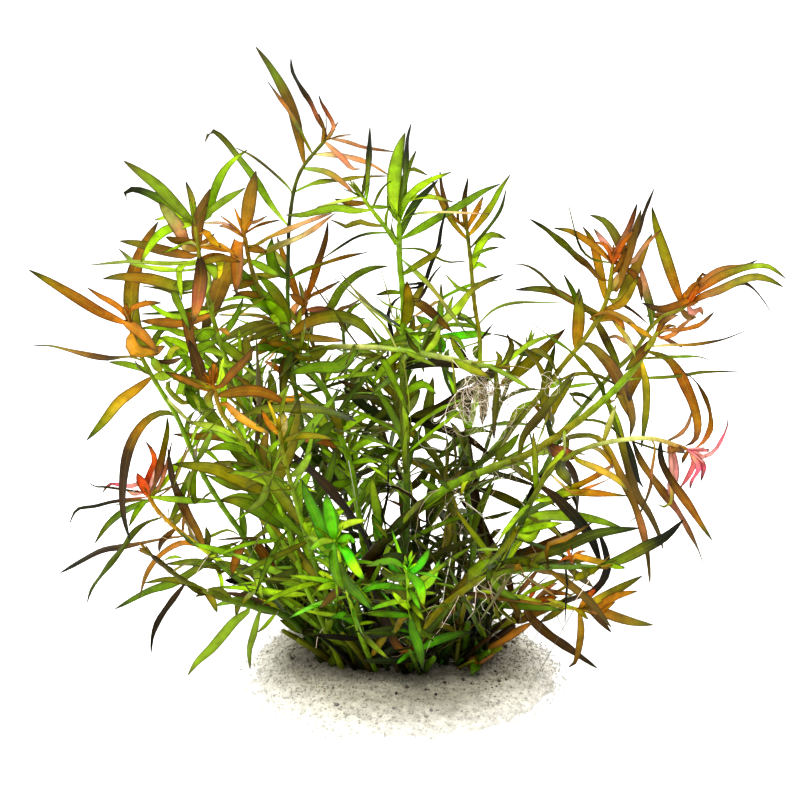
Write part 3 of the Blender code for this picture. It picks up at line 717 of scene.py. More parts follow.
# Open places in it, which those leaves keep clear of: across, down, and how far each reaches both ways. The
# last seven lie along the dark leaf that crosses the bush in front.
GAPS = ((213, 526, 17, 16), (359, 334, 16, 9), (439, 389, 9, 17), (566, 413, 10, 15), (336, 340, 12, 12),
        (495, 349, 11, 9), (219, 450, 10, 11), (254, 525, 7, 11), (556, 483, 9, 8), (462, 379, 8, 10),
        (188, 553, 18, 5), (418, 492, 6, 9), (503, 491, 12, 6), (203, 488, 8, 10), (234, 517, 7, 12),
        (393, 511, 9, 8), (521, 361, 9, 8), (418, 380, 8, 11), (179, 362, 6, 9), (532, 376, 9, 8),
        (487, 442, 7, 8), (519, 490, 6, 10), (542, 537, 10, 6), (439, 445, 8, 6), (500, 408, 22, 14),
        (586, 429, 12, 6), (374, 324, 12, 8), (520, 438, 14, 8), (499, 526, 7, 6), (226, 490, 5, 8),
        (494, 508, 10, 6),
        (298, 458, 8, 8), (311, 471, 8, 8), (325, 485, 8, 8), (339, 501, 8, 8), (352, 517, 8, 8),
        (362, 534, 7, 8), (369, 551, 6, 9))
LEAF_ROOM = 0.5 * MM
GROWN_ROLL = 55.0  # degrees, the most that a grown leaf turns round its own spine


def in_gap(place):
    """Whether a place in the picture lies in one of the open places."""
    return any(((place[0] - x) / wide) ** 2 + ((place[1] - y) / high) ** 2 < 1 for x, y, wide, high in GAPS)


def inside(place, outline):
    """Whether a place in the picture lies inside an outline."""
    x, y = place
    odd = False
    for (ax, ay), (bx, by) in zip(outline, (*outline[1:], outline[0])):
        if (ay > y) != (by > y) and x < ax + (y - ay) / (by - ay) * (bx - ax):
            odd = not odd
    return odd


def grown_leaf(points, share, out, draw, size, tints):
    """A leaf that grows from a joint, and its spine, which leaves the stem outwards and upwards and bends
    over. There is none where it would lie along the stem."""
    number = int(share * (len(points) - 1))
    root = Vector(points[number])
    up = Vector(points[min(number + 1, len(points) - 1)] - points[max(number - 1, 0)]).normalized()
    out = (out - up * out.dot(up)).normalized()
    open_by = math.radians(draw.uniform(20, 50 + 60 * min(share * 1.6, 0.6)))
    go = up * math.cos(open_by) + out * math.sin(open_by)
    aside = up.cross(out) * draw.gauss(0.0, 0.30)
    outward = out * draw.uniform(0.0, 0.35)
    droop = Vector((0, 0, 1)) * draw.uniform(-0.3, 0.9) * min(2.0 * share, 1.0)
    bend = outward + aside - droop
    length = size * draw.uniform(0.75, 1.15)
    spine = np.array([root + (go * t + bend * t * t * 0.5) * length for t in np.linspace(0.0, 1.0, 9)])
    side = Vector(spine[-1] - spine[0]).cross(up)
    if side.length < 1e-6:
        return None
    width = min(LEAF_SLENDER * length + 0.8 * MM, LEAF_WIDEST) * draw.uniform(0.7, 1.2)
    roll = math.radians(draw.uniform(-GROWN_ROLL, GROWN_ROLL))
    return blade(spine, side, width, tints, draw, roll), spine


def fits(spine):
    """Whether a leaf stays in the dense part of the picture, above the sand and inside the frame's box."""
    low, high = cad_box
    if not all(inside(shown_at(place), DENSE) for place in (spine[3], spine[5], spine[-1])):
        return False
    if any(in_gap(shown_at(place)) for place in spine[2:]):
        return False
    floor_here = max(sand_height(x, y) for x, y, _ in spine[-3:])
    if spine[:, 2].min() < min(floor_here, spine[0][2]) + LEAF_ROOM:
        return False
    return bool((spine > np.array(low) + 2 * MM).all() and (spine < np.array(high) - 2 * MM).all())


SIDE_PAIRS_MISSING = 0.3  # the share of the leaves in each second pair that have dropped
FRONT_MISSING = 0.25  # and of those that point at the camera


def grow_leaves(name, carriers, slot, nodes, rows, fill="", fill_from=0.06, size=34.0):
    """A piece of drawn leaves, and more that grow from the joints of its first carrier where `fill` names
    their colours, low down / high up: from `fill_from` of the way up it, and about `size` mm long."""
    draw = random.Random(name)
    names = carriers.split()
    parts = [drawn_leaf(row, names, draw) for row in rows.strip().splitlines()]
    if fill:
        stem = stems[names[0]]
        low, high = (words.split() for words in fill.split("/"))
        spin = draw.uniform(0, 6.28)
        for joint in stem["joints"]:
            spin += math.pi / 2 + draw.uniform(-0.3, 0.3)
            for quarter in range(4):
                if quarter % 2 and draw.random() < SIDE_PAIRS_MISSING:
                    continue
                angle = spin + quarter * math.pi / 2
                out = Vector((math.cos(angle), math.sin(angle), 0.0))
                end = draw.choice(high if draw.random() < joint * 1.3 else low)
                start = draw.choice(high if draw.random() < joint else low)
                if joint < fill_from or (out.y < -0.2 and draw.random() < FRONT_MISSING):
                    continue
                length = size * MM * (1.0 - 0.4 * joint**3)
                grown = grown_leaf(stem["points"], joint, out, draw, length, tints_of((start, end)))
                if grown and fits(grown[1]):
                    parts.append(grown[0])
    make_piece(name, parts, leaf_tissue, slot, *nodes.split())


# The tallest stem's leaves: rust and salmon ones in a loose tuft, and a long green one that curls at its end
grow_leaves("leaves_tall", "stem_tall", "leaf_rust",
            "leaf_tall_top leaf_tall_red leaf_tall_right leaf_tall_long", """
303,166 299,135 293,110 283,88 270,66 256,47 | 4.0 bronze brown brown forest dusk -4
312,153 300,130 290,112 280,98 268,82 | 1.7 olive moss orange dusk 8
327,138 325,130 318,117 311,102 302,88 293,72 291,59 | 2.0 brown clay umber dusk dusk 10
321,144 324,130 319,114 | 1.4 bronze brown
332,138 334,127 328,114 322,104 319,96 | 1.6 salmon clay umber 2
331,140 346,142 365,148 395,152 | 1.6 salmon clay umber 16
326,145 337,153 346,162 352,169 360,169 | 2.4 salmon clay salmon 10
317,156 335,155 352,158 370,164 390,176 | 2.2 straw salmon orange bronze -8
306,170 323,171 337,178 354,193 | 2.5 green olive bronze clay 12
296,194 304,188 318,183 340,181 360,178 388,176 | 1.9 green moss olive brown 6
293,195 289,188 270,170 252,156 236,148 | 1.1 green dusk dusk moss -10
286,226 270,204 257,183 247,169 236,155 226,142 215,132 209,133 205,142 | 2.7 lime green green moss dusk 6
342,412 352,404 364,402 | 2.6 bright green
341,430 356,420 372,414 | 3.2 lime bright
356,421 346,416 336,408 | 2.0 bottle dusk
345,368 360,374 374,384 384,397 | 3.2 green bright
356,472 356,458 350,443 | 2.2 lime bright
388,446 370,447 352,452 | 1.0 lime pale
386,470 372,468 357,472 | 1.8 lime bright
""", "forest bottle/green forest moss olive")

# The front left crown's leaves: olive, brown and rust, some standing and some hanging
grow_leaves("leaves_left_crown", "stem_left_crown", "leaf_olive",
            "leaf_crown_green leaf_crown_upright leaf_crown_red", """
191,223 177,206 159,187 141,173 124,161 | 4.0 green green green moss 6
190,222 178,213 163,201 148,193 134,189 126,192 124,196 127,200 | 2.9 lime green forest dusk dusk
195,219 192,200 186,182 | 2.4 green olive dusk
208,215 213,195 221,175 232,161 247,150 | 2.9 green green lime
208,213 224,201 245,188 | 2.7 green green
199,254 197,232 201,212 210,189 | 4.2 rust brown brown 12
187,244 180,230 170,216 159,202 | 4.6 clay salmon pale moss 14
193,222 171,217 155,220 | 1.8 lime lime
185,225 168,229 154,240 141,262 | 3.2 lime bright lime
191,256 162,250 139,244 120,241 | 3.6 rust brown moss 8
194,244 178,241 166,237 | 2.6 rust brown
199,256 201,272 199,292 194,322 | 5.0 umber brown clay bronze 16
188,312 189,332 195,357 203,383 | 3.6 bronze brown brown umber 12
203,257 216,256 232,258 | 2.6 rust amber
200,264 206,281 201,300 | 4.2 pale lime
181,265 180,283 182,300 | 2.4 lime lime
175,288 183,313 190,330 | 3.0 moss green
202,246 216,247 234,252 | 2.6 amber orange
206,232 211,239 221,247 | 2.8 amber ochre
203,245 209,239 214,234 | 1.6 rust dusk
218,259 221,268 219,281 | 3.2 lime yellow
202,262 222,258 240,262 | 2.6 olive rust
203,248 192,242 178,246 162,253 | 1.4 straw lime green 14
204,246 216,244 228,250 238,258 | 1.4 straw amber rust 14
196,251 188,248 180,246 | 2.6 amber straw 12
205,262 212,268 216,280 | 3.4 bright green
216,332 205,335 195,341 | 4.0 green bright moss 10
230,436 231,446 236,456 240,462 | 2.6 bottle green
240,384 250,376 262,372 | 3.0 green olive
""", "green bright forest/lime green olive bronze")

# The arching stem's leaves: bright and deep green, with orange-brown ones round its tip
grow_leaves("leaves_left_arching", "stem_left_arching", "leaf_green", "leaf_arching_tip", """
246,235 247,218 250,197 256,171 | 5.0 amber bronze bronze umber 4
243,240 238,232 229,227 219,226 | 1.9 amber salmon
234,228 222,223 205,223 200,221 | 1.0 blush straw
248,231 257,226 266,223 280,220 | 1.1 rust brown umber
250,224 259,221 267,216 | 1.1 salmon umber
244,248 256,249 267,252 | 3.0 bronze brown
255,245 270,236 290,228 310,220 332,213 | 1.7 olive bronze salmon clay
252,266 258,256 275,246 295,238 312,229 335,213 | 1.9 lime olive straw salmon clay
286,331 281,316 264,298 | 4.6 lime bright
286,333 264,325 241,331 219,342 | 4.0 olive forest
290,275 270,276 249,278 223,283 200,287 | 3.0 olive moss
288,277 305,269 325,262 345,256 368,252 | 1.9 green olive bronze umber
281,320 269,318 249,314 219,314 | 1.6 bronze straw
275,301 266,298 244,293 233,296 | 3.0 olive rust
284,279 275,268 270,253 272,238 | 4.2 forest green
247,248 241,240 237,247 237,265 236,294 | 4.8 orange rust rust
254,258 263,267 280,276 | 3.0 bright green
246,262 236,264 226,272 215,300 202,335 | 6.6 olive bronze brown umber 14
272,300 258,290 240,270 232,262 | 3.2 bright forest
276,318 266,300 258,283 | 3.2 green lime
286,335 312,338 345,341 | 3.0 olive bronze
268,315 260,303 250,300 | 3.6 bright green 10
287,322 279,300 268,284 258,276 | 4.8 green olive bright 6
280,330 266,333 250,340 | 3.4 olive moss 8
290,340 300,345 312,349 | 3.6 moss olive 8
249,283 242,285 236,289 | 3.0 bronze moss 8
287,270 281,262 275,250 | 2.6 green olive
297,356 280,350 262,347 240,352 | 3.0 green bright
300,365 286,362 270,360 | 3.0 bottle green
292,350 286,372 282,396 | 3.2 forest olive
338,418 325,430 312,446 | 3.8 green forest
346,440 330,436 312,428 | 3.4 green bright
344,425 330,412 318,405 | 3.4 forest bright
352,470 338,462 322,460 | 2.8 bright green
350,455 362,444 380,438 | 2.6 lime bright
352,465 368,460 386,462 | 2.4 bright lime
""", "green bright forest lime/bright green olive lime")

# The far left stem's leaves: thick orange and rust ones that reach furthest out
grow_leaves("leaves_left_outer", "stem_left_outer stem_left_green", "leaf_rust",
            "leaf_outer_orange leaf_outer_thin leaf_outer_olive", """
123,322 100,312 75,297 50,282 29,270 | 3.8 orange rust bronze moss 8
123,311 113,303 100,296 88,288 | 2.2 orange rust
130,310 140,305 150,303 161,303 | 1.9 orange orange umber
122,320 132,326 145,337 158,352 | 4.0 orange rust 4
138,328 131,340 137,352 158,354 | 5.0 amber bronze
140,346 151,352 165,346 | 3.4 rust orange brown 8
144,360 130,357 110,359 90,356 70,351 49,346 30,346 | 1.9 olive umber brown bronze moss dusk -12
149,381 135,390 119,402 104,421 87,440 | 3.9 bronze ochre olive forest 10
151,372 140,368 125,364 109,362 | 2.4 bright green forest
152,377 141,370 135,361 | 1.0 moss dusk
183,322 161,322 141,321 | 3.8 orange rust
155,341 161,331 169,329 | 2.8 moss bottle
156,345 165,338 178,344 | 1.8 lime green
148,379 163,376 176,372 | 3.6 lime bright
168,391 175,407 190,421 203,424 | 1.3 pale moss
177,417 170,413 161,413 148,420 136,435 128,455 124,480 123,505 126,525 130,540 \
| 3.4 moss bronze umber umber umber dusk
158,361 170,362 182,358 | 2.0 umber brown
198,462 204,448 213,430 | 2.6 green bright
196,502 193,485 197,466 | 2.6 moss green
247,538 243,522 241,505 | 2.8 green forest
151,358 157,366 163,373 | 3.4 green olive 8
186,404 174,396 167,386 172,379 179,381 | 2.2 olive green 6
""", "green forest bright/lime green moss bronze")

# The green stem beside it: olive, teal and lime blades, the widest of them two-toned
grow_leaves("leaves_left_green", "stem_left_green stem_left_crown", "leaf_olive", "leaf_green_wide", """
151,355 136,330 131,300 135,270 145,244 158,222 | 5.8 moss olive rust bronze -10
184,287 165,283 150,279 130,277 115,277 103,279 | 4.2 green olive bronze moss
186,262 166,263 130,261 89,265 | 1.6 lime bottle
186,270 166,269 145,266 134,263 127,256 119,249 | 1.8 green lime green bottle -14
178,294 161,289 141,286 | 1.0 moss dusk
181,316 166,314 145,300 | 2.2 lime bright
183,312 161,313 141,314 | 1.4 forest bottle
186,334 166,328 141,328 | 2.6 lime bright
193,349 175,341 158,338 | 3.4 green lime
190,355 176,352 165,362 168,380 | 3.0 bright green
168,369 173,349 186,346 | 2.6 lime yellow
190,398 196,370 205,350 | 3.4 green bright
206,416 190,398 186,372 | 3.4 green forest
216,340 228,348 240,358 252,365 | 3.8 green olive
218,338 230,326 238,312 243,298 | 2.4 bright forest
190,366 182,354 174,348 160,337 | 2.6 bright green
168,369 170,355 178,346 187,343 | 2.6 lime green
179,396 182,384 185,371 | 3.2 lime green
218,364 234,365 252,364 | 2.2 lime bright
238,386 229,373 219,361 | 3.2 forest green
222,356 210,350 197,352 | 2.4 lime bright
205,366 197,357 188,350 | 2.2 green bright
228,438 214,420 200,402 186,388 | 4.8 olive green green 6
262,482 250,468 238,452 226,438 | 4.8 olive moss green 6
286,520 276,505 262,482 | 4.4 forest moss 6
262,500 240,496 220,500 | 2.6 bright lime
215,428 200,436 192,448 | 2.6 green bright
""", "green lime forest/lime bright olive")

# The inner left stem: orange and rust leaves in a loose rosette, and a long olive one with a dark end
grow_leaves("leaves_left_inner", "stem_left_inner stem_left_dark", "leaf_olive", "", """
208,391 196,383 177,377 165,372 | 3.0 olive moss
213,383 215,373 213,362 | 2.6 rust orange
221,386 233,372 245,360 255,346 | 2.8 rust brown
203,379 196,359 189,340 | 4.2 brown umber
219,396 241,391 266,393 290,407 | 4.0 bronze rust
272,399 291,399 312,391 | 2.6 ochre amber orange 14
225,403 236,414 250,424 270,434 | 2.8 orange amber ochre 12
272,363 286,374 297,384 | 3.0 orange bronze
239,421 257,411 291,409 324,411 356,421 | 3.2 moss moss bottle 14
279,480 270,463 256,451 238,441 215,436 195,436 173,434 | 2.8 olive bronze
230,440 250,445 266,458 276,471 | 3.0 orange olive
210,395 200,387 185,380 168,372 | 2.0 bronze rust
253,456 257,430 258,400 257,370 256,338 | 1.9 umber dusk
264,410 262,400 260,390 | 4.0 umber brown
255,418 246,408 240,400 | 3.0 lime green
213,389 208,398 213,410 | 3.0 brown green 10
246,403 259,390 260,374 267,364 | 3.0 bright green 6
297,356 285,364 283,382 280,394 | 3.8 olive brown bottle 6
257,470 245,473 231,463 | 3.2 green bright 8
192,449 205,450 213,456 220,463 | 1.8 lime green
246,455 236,448 222,446 208,450 | 3.0 green bright olive
262,470 254,452 250,436 | 3.2 bright green
270,480 262,500 246,512 | 3.0 green forest
""", "green lime forest/bright lime moss")

# The yellow-tipped stem
grow_leaves("leaves_yellow_crown", "stem_yellow_crown stem_left_inner", "leaf_ochre", "", """
280,434 270,425 261,410 | 2.4 amber orange
276,490 286,455 299,399 | 5.8 olive olive moss 24
293,437 316,440 332,445 346,452 | 3.2 amber orange rust 12
274,494 256,488 238,479 218,470 196,466 173,464 | 4.8 olive olive moss 12
289,529 275,520 262,512 246,504 232,500 220,501 | 5.0 forest green olive 12
292,525 304,514 316,498 326,482 332,465 336,448 | 4.0 bottle forest
266,475 262,455 268,430 | 3.4 moss bronze
284,480 300,470 312,452 | 3.0 green bright
290,500 305,480 312,470 | 3.2 bright green
335,455 318,462 301,455 | 4.4 umber brown
320,462 308,450 297,440 | 3.6 bottle forest
272,496 284,490 300,486 | 2.0 lime yellow
299,517 300,500 301,480 | 2.2 lime green
283,437 284,424 283,411 | 3.0 yellow straw olive 6
350,482 341,484 331,484 | 3.4 green bright 10
263,476 240,487 222,482 207,475 | 2.8 olive moss green
290,545 278,541 270,530 263,519 | 2.6 bottle green bright
286,467 298,460 311,471 325,485 339,501 352,517 363,534 370,552 | 3.2 black umber black black 4
""", "green lime bright/olive moss green")

# The low left stems: red leaves in a tight crown, long thin arching ones, and some near black
grow_leaves("leaves_left_low", "stem_left_low stem_left_creeping", "leaf_rust",
            "leaf_low_long leaf_low_curved leaf_low_thin", """
148,496 146,484 151,472 155,460 151,449 146,442 | 2.8 red red flame umber
148,495 143,484 137,473 | 4.2 flame red
152,494 157,475 163,450 167,430 167,417 | 3.2 salmon clay bronze olive moss
150,492 152,482 155,469 | 1.6 blush salmon
155,494 165,472 172,442 | 1.6 salmon clay umber
141,484 128,486 117,484 109,484 103,492 | 1.8 clay blush pink brown
104,487 96,487 92,485 88,482 | 0.9 umber dusk
150,498 130,499 110,502 95,506 80,508 74,513 70,523 | 1.5 clay umber dusk dusk dusk -6
154,497 135,500 115,505 | 1.2 olive moss
146,501 130,508 116,517 105,528 95,543 | 2.8 green forest moss
145,502 136,512 129,526 | 2.4 green green moss
147,500 165,498 190,500 219,501 | 2.7 lime green green
161,521 146,522 133,532 123,546 102,573 91,589 87,603 | 2.4 moss forest 14
184,537 168,537 140,542 119,546 98,551 60,573 | 1.9 bronze umber dusk -14
199,543 182,542 161,553 146,573 139,598 | 2.4 orange rust umber
219,549 203,563 175,581 147,591 115,609 | 3.4 olive green forest
207,552 197,530 184,505 173,478 168,448 | 3.7 bronze brown umber umber
170,520 180,500 190,470 | 3.0 moss green
173,525 178,518 183,512 | 2.8 moss olive
149,498 164,483 177,466 185,455 192,448 | 2.4 olive lime lime
150,494 165,489 180,484 192,478 | 1.0 olive straw
170,488 178,470 188,444 | 1.0 salmon olive
210,548 208,538 206,527 | 2.6 umber moss
160,470 175,466 192,468 | 1.6 lime bright
197,468 191,478 188,493 | 2.6 moss green
141,493 134,494 127,491 | 1.6 blush salmon
163,540 160,546 159,552 | 2.6 brown umber
196,543 212,536 228,530 240,536 | 1.2 lime moss
210,548 228,546 240,541 | 1.8 green moss
318,640 306,610 294,585 | 4.6 moss green forest 8
332,655 318,625 308,595 | 4.6 green moss forest 10
""", "moss green umber/green olive rust")

# The creeping stem's leaves: black-green, with lime ones that hang down to the sand
grow_leaves("leaves_left_creeping", "stem_left_creeping stem_left_outer", "leaf_brown",
            "leaf_creeping_dark", """
184,587 171,601 158,620 152,637 151,653 | 2.4 umber black 8
248,611 235,621 222,636 210,650 197,662 188,675 | 3.8 green green
258,616 253,635 249,650 250,669 | 2.4 green forest
276,615 266,625 258,632 | 1.5 lime green
306,596 283,594 250,589 216,587 | 2.8 lime bright
299,569 283,577 266,582 | 3.6 bottle bottle
250,592 240,599 236,616 | 3.4 umber moss
248,541 256,544 278,576 | 4.0 brown rust
246,541 236,559 232,575 | 3.4 brown rust
209,593 190,584 168,579 145,583 | 2.4 olive moss
222,573 214,566 204,568 | 1.8 moss olive
209,596 200,592 187,586 | 2.0 umber moss
203,594 212,600 217,612 | 2.6 brown olive moss
235,602 218,590 196,596 | 2.6 moss forest
266,609 240,600 214,606 | 2.8 bottle green
262,539 240,538 216,540 | 1.2 umber dusk
271,562 266,545 261,520 | 1.1 umber dusk
232,568 215,566 195,562 166,564 | 3.2 forest moss
270,579 254,573 236,567 218,561 | 3.4 moss forest
218,568 222,582 221,597 | 1.8 lime lime
250,588 238,581 225,580 | 3.4 umber black
286,613 270,604 250,597 | 2.2 lime yellow
290,614 265,609 246,605 | 3.6 forest bottle
310,634 298,629 280,620 | 3.0 green moss
240,562 224,548 208,556 | 3.0 green bright
""", "bottle forest umber/moss green olive")

# The orange-tipped stem behind them, with one wide olive leaf that arches over
grow_leaves("leaves_orange_crown", "stem_orange_crown", "leaf_rust", "leaf_orange_upright", """
305,300 311,285 318,262 325,240 328,221 | 3.2 orange rust brown umber -4
299,300 292,281 284,258 277,237 | 3.2 rust brown bronze
303,302 302,292 299,281 | 1.9 olive moss
308,298 324,290 340,281 | 1.9 orange rust umber
308,308 320,309 332,309 | 2.6 clay umber
297,304 288,324 287,338 | 3.0 salmon orange
285,337 310,322 335,316 360,323 381,346 | 4.9 bronze moss moss
328,310 340,291 354,277 370,269 388,266 | 3.4 moss green forest
338,312 350,306 361,299 | 2.4 rust brown
247,358 246,345 245,333 | 4.0 moss olive
258,352 263,342 269,332 | 3.6 olive bronze
270,398 272,384 269,370 | 4.4 forest moss
253,388 252,376 249,364 | 4.2 bottle forest
286,352 275,345 262,341 | 2.6 brown moss
265,364 271,356 280,347 | 1.6 salmon orange
345,330 330,308 316,288 304,270 | 0.8 umber dusk
303,306 297,299 290,294 | 3.0 orange rust 8
304,308 300,314 295,318 | 3.2 rust umber 8
344,326 350,310 362,302 | 2.2 umber green
""", "bottle forest green/moss green olive")

# The centre stem's leaves: fresh green, upright and in crossed pairs up to the bright tip
grow_leaves("leaves_centre", "stem_centre", "leaf_green", "leaf_centre_top leaf_centre_long", """
396,216 394,190 395,170 399,150 405,133 | 5.4 lime bright green 2
404,190 405,165 407,139 411,124 | 1.7 bright green dusk black
404,182 409,166 416,151 | 2.4 green green moss
407,173 416,170 427,175 | 1.8 green moss
404,203 414,191 430,180 451,172 | 2.9 bright lime lime
402,238 408,216 418,200 428,190 438,180 | 3.0 forest bottle dusk
405,204 414,198 430,197 453,202 | 1.7 bright lime olive
402,240 420,228 440,216 465,202 483,191 500,184 | 3.1 bright green green -10
401,224 415,214 440,212 465,213 490,214 | 1.0 green straw salmon
404,248 420,249 436,257 448,262 466,261 | 1.0 forest moss dusk
404,277 424,261 437,252 442,244 | 2.6 green olive moss
403,258 416,273 430,287 441,301 454,318 466,333 | 1.8 green olive forest
422,285 430,266 438,246 441,228 447,207 | 1.5 dusk black black
419,300 426,288 433,275 441,266 | 1.1 umber dusk
408,330 409,305 407,281 | 4.4 olive olive bronze
408,312 415,300 424,282 | 3.2 olive olive
440,301 425,310 408,320 | 1.4 olive salmon
440,301 455,291 470,285 487,282 503,279 | 1.5 green bright green
402,330 375,310 355,291 340,272 | 1.7 dusk bottle olive moss
400,331 363,303 335,279 | 1.0 green pale umber
402,294 389,292 376,295 | 1.9 green moss dusk
400,310 386,304 377,297 | 0.8 lime green
393,318 389,298 381,271 | 0.7 pale moss
393,344 388,316 393,303 401,296 | 1.6 black dusk
403,343 424,336 445,321 458,309 472,291 486,282 504,274 | 2.9 lime pale lime olive dusk
410,300 422,305 434,315 452,332 | 3.6 olive brown umber bronze
420,357 412,345 406,333 | 2.0 moss dusk
408,368 422,348 440,328 | 2.8 umber moss
394,222 388,206 387,196 | 1.2 green green
396,243 392,230 393,217 | 1.0 forest bottle
402,350 386,365 372,385 | 3.0 lime green
403,326 416,345 424,372 | 3.0 green bright
426,283 418,282 408,287 | 0.9 dusk dusk
399,348 385,342 376,333 370,324 | 1.8 green bright
408,416 412,404 420,390 | 3.0 pale forest 6
354,494 368,482 381,473 | 3.2 bright green 10
396,474 384,478 376,484 | 2.6 lime green
""", "forest bottle green/bright green lime")

# The fork of the centre stem
grow_leaves("leaves_centre_fork", "stem_centre_fork stem_centre", "leaf_green", "leaf_fork_side", """
367,204 368,180 370,150 370,128 | 1.9 bright moss dusk dusk
366,204 350,203 335,199 | 2.2 bronze bronze umber
371,211 355,211 338,208 320,211 303,215 286,215 | 2.8 lime bright green green 10
368,205 380,207 391,207 | 1.5 green forest
384,229 370,225 358,222 347,227 340,224 331,220 | 1.9 olive olive moss umber
387,234 371,233 356,237 341,246 322,259 | 1.0 green dusk dusk moss
361,198 354,188 350,180 | 1.2 green moss
360,197 340,201 317,207 | 1.2 lime pale
362,198 364,185 365,174 | 1.2 moss dusk
374,206 378,195 384,186 391,181 | 1.0 moss forest
387,232 386,218 389,206 | 1.1 green green
""")

# The slim stem right of the centre, which ends in a fan of narrow olive and ochre leaves
grow_leaves("leaves_centre_slim", "stem_centre_slim", "leaf_olive", "", """
468,238 465,220 464,200 468,178 | 2.2 ochre bronze umber dusk
466,240 455,225 445,208 437,192 431,176 | 2.5 ochre olive bronze moss
451,214 443,192 440,171 | 1.9 amber brown dusk
470,228 477,210 483,197 | 2.4 amber bronze
470,235 480,222 492,205 500,190 510,175 | 2.8 ochre olive green moss
470,247 486,230 500,210 506,190 | 1.5 moss forest dusk
459,222 458,210 459,201 | 1.0 bronze dusk
472,268 480,245 490,235 500,236 506,239 | 3.4 lime lime moss
474,258 486,250 499,247 | 1.4 green dusk
471,270 478,264 487,268 | 1.9 bright green
481,323 490,312 503,305 519,302 540,302 567,303 | 1.3 green forest green
546,394 543,376 536,362 524,349 508,338 487,333 | 1.9 olive dusk
478,327 466,321 456,315 | 0.8 forest dusk
458,320 463,306 472,292 | 1.1 moss dusk
464,362 457,350 450,337 | 2.4 green olive
470,364 462,352 454,340 | 1.6 dusk umber
481,341 487,331 493,324 | 1.0 umber dusk
480,341 462,348 444,358 | 0.8 moss green
474,292 458,288 446,275 | 1.6 green lime
479,333 467,318 450,310 | 2.0 green forest
""", "bottle forest green/green bright olive")

# The dark slim stem behind, with one vivid green whorl
grow_leaves("leaves_slim_dark", "stem_slim_dark", "leaf_green", "", """
441,335 430,326 416,316 | 4.2 neon green
441,336 455,336 475,334 492,334 | 3.6 neon green
441,337 437,345 435,353 | 4.0 neon green
441,337 443,345 443,353 | 3.0 bright neon
440,335 441,312 441,283 | 2.0 neon green dusk
445,325 449,308 453,296 | 2.2 bright lime
443,365 430,352 414,350 | 3.4 forest green
479,532 476,505 471,478 468,455 465,432 | 4.6 black umber umber bronze 6
452,392 470,380 486,378 | 3.6 bottle forest
446,370 452,376 456,385 | 2.8 bottle forest
440,335 457,339 466,352 | 2.2 green forest
479,344 476,350 477,359 | 3.0 green forest
473,388 467,400 468,420 | 3.6 black bottle -8
480,376 484,398 482,424 | 4.0 olive moss umber -12
463,418 452,413 446,424 | 3.4 forest green 6
424,444 433,436 447,440 | 2.0 pale green 8
""", "bottle forest/green forest")

# The side shoot that grows across: dark leaves at its end, pale ones half-way
grow_leaves("leaves_across", "stem_across", "leaf_green", "", """
501,364 500,358 496,351 | 2.0 olive moss
504,364 512,346 507,334 | 2.6 moss umber
491,369 466,364 440,362 420,365 404,369 | 3.8 umber dusk
397,365 382,366 368,372 361,384 | 2.4 black dusk
303,355 287,346 266,343 | 3.0 olive bronze
303,356 316,349 332,348 | 3.0 bronze olive
360,349 340,366 316,367 287,374 | 4.6 forest green
325,384 333,367 346,357 363,354 385,362 | 2.8 lime pale
505,364 512,358 532,343 560,333 | 1.8 lime green
500,370 497,390 495,415 494,439 | 2.2 moss umber
498,368 490,374 474,386 | 3.8 dusk black black
424,354 436,340 440,325 | 2.6 lime green
357,348 345,328 333,308 325,296 | 0.8 umber moss
397,344 386,328 374,315 362,303 | 1.1 pale green
388,352 375,358 360,366 347,381 | 2.2 moss green
386,358 372,355 358,354 | 1.2 umber moss
330,351 312,357 292,356 | 3.8 moss olive
393,369 380,372 362,380 352,384 | 1.4 lime green
""", "green moss forest/olive green", 0.06, 28.0)

# The thick stem right of the centre
grow_leaves("leaves_centre_thick", "stem_centre_thick stem_slim_dark", "leaf_olive", "", """
400,405 403,399 416,386 423,379 | 4.6 olive moss
405,395 423,384 436,394 | 3.2 green bright
429,435 428,412 433,377 | 4.4 green moss
416,417 441,409 466,391 476,387 | 5.0 moss umber dusk
405,413 433,425 466,437 491,456 | 3.0 dusk umber
403,420 383,404 360,390 338,380 | 3.6 moss umber
448,450 457,440 474,430 491,432 | 3.4 forest green
395,406 380,415 365,430 | 3.0 moss bottle
396,399 385,385 380,368 | 3.2 olive moss
394,371 410,360 425,362 | 3.2 olive green
398,345 410,332 414,315 | 3.0 bronze olive
400,424 380,415 358,402 343,388 | 3.6 bottle dusk
404,404 402,392 403,378 | 3.6 lime green
398,426 382,422 366,421 | 1.4 pale straw
405,410 410,392 416,374 | 3.6 moss forest
452,489 454,505 450,530 444,556 | 3.2 olive yellow olive moss 10
""", "umber bottle moss/moss olive green")

# The dark stem behind the centre, and the dark one far left: near-black leaves deep in the bush
grow_leaves("leaves_centre_dark", "stem_centre_dark", "leaf_brown", "", """
379,420 366,408 355,392 | 3.2 umber dusk
391,455 402,440 408,420 | 3.2 bottle dusk
405,493 420,480 432,462 | 3.4 umber bottle
388,452 374,454 362,461 356,471 | 5.0 forest bottle
422,447 406,452 396,460 391,472 | 2.0 moss olive
410,507 411,490 407,475 400,460 | 1.4 lime yellow
382,518 387,498 388,478 388,458 | 1.0 dusk black
420,503 410,495 395,487 378,486 | 1.2 umber dusk
420,520 410,513 400,505 386,499 | 1.2 umber brown
""", "umber bottle forest/moss forest green")
grow_leaves("leaves_left_dark", "stem_left_dark", "leaf_brown", "", """
240,395 250,378 262,365 | 3.2 brown umber
265,425 258,405 250,392 | 3.2 umber dusk
326,486 340,470 346,450 | 3.4 dusk umber
""", "umber bottle dusk/forest green moss")

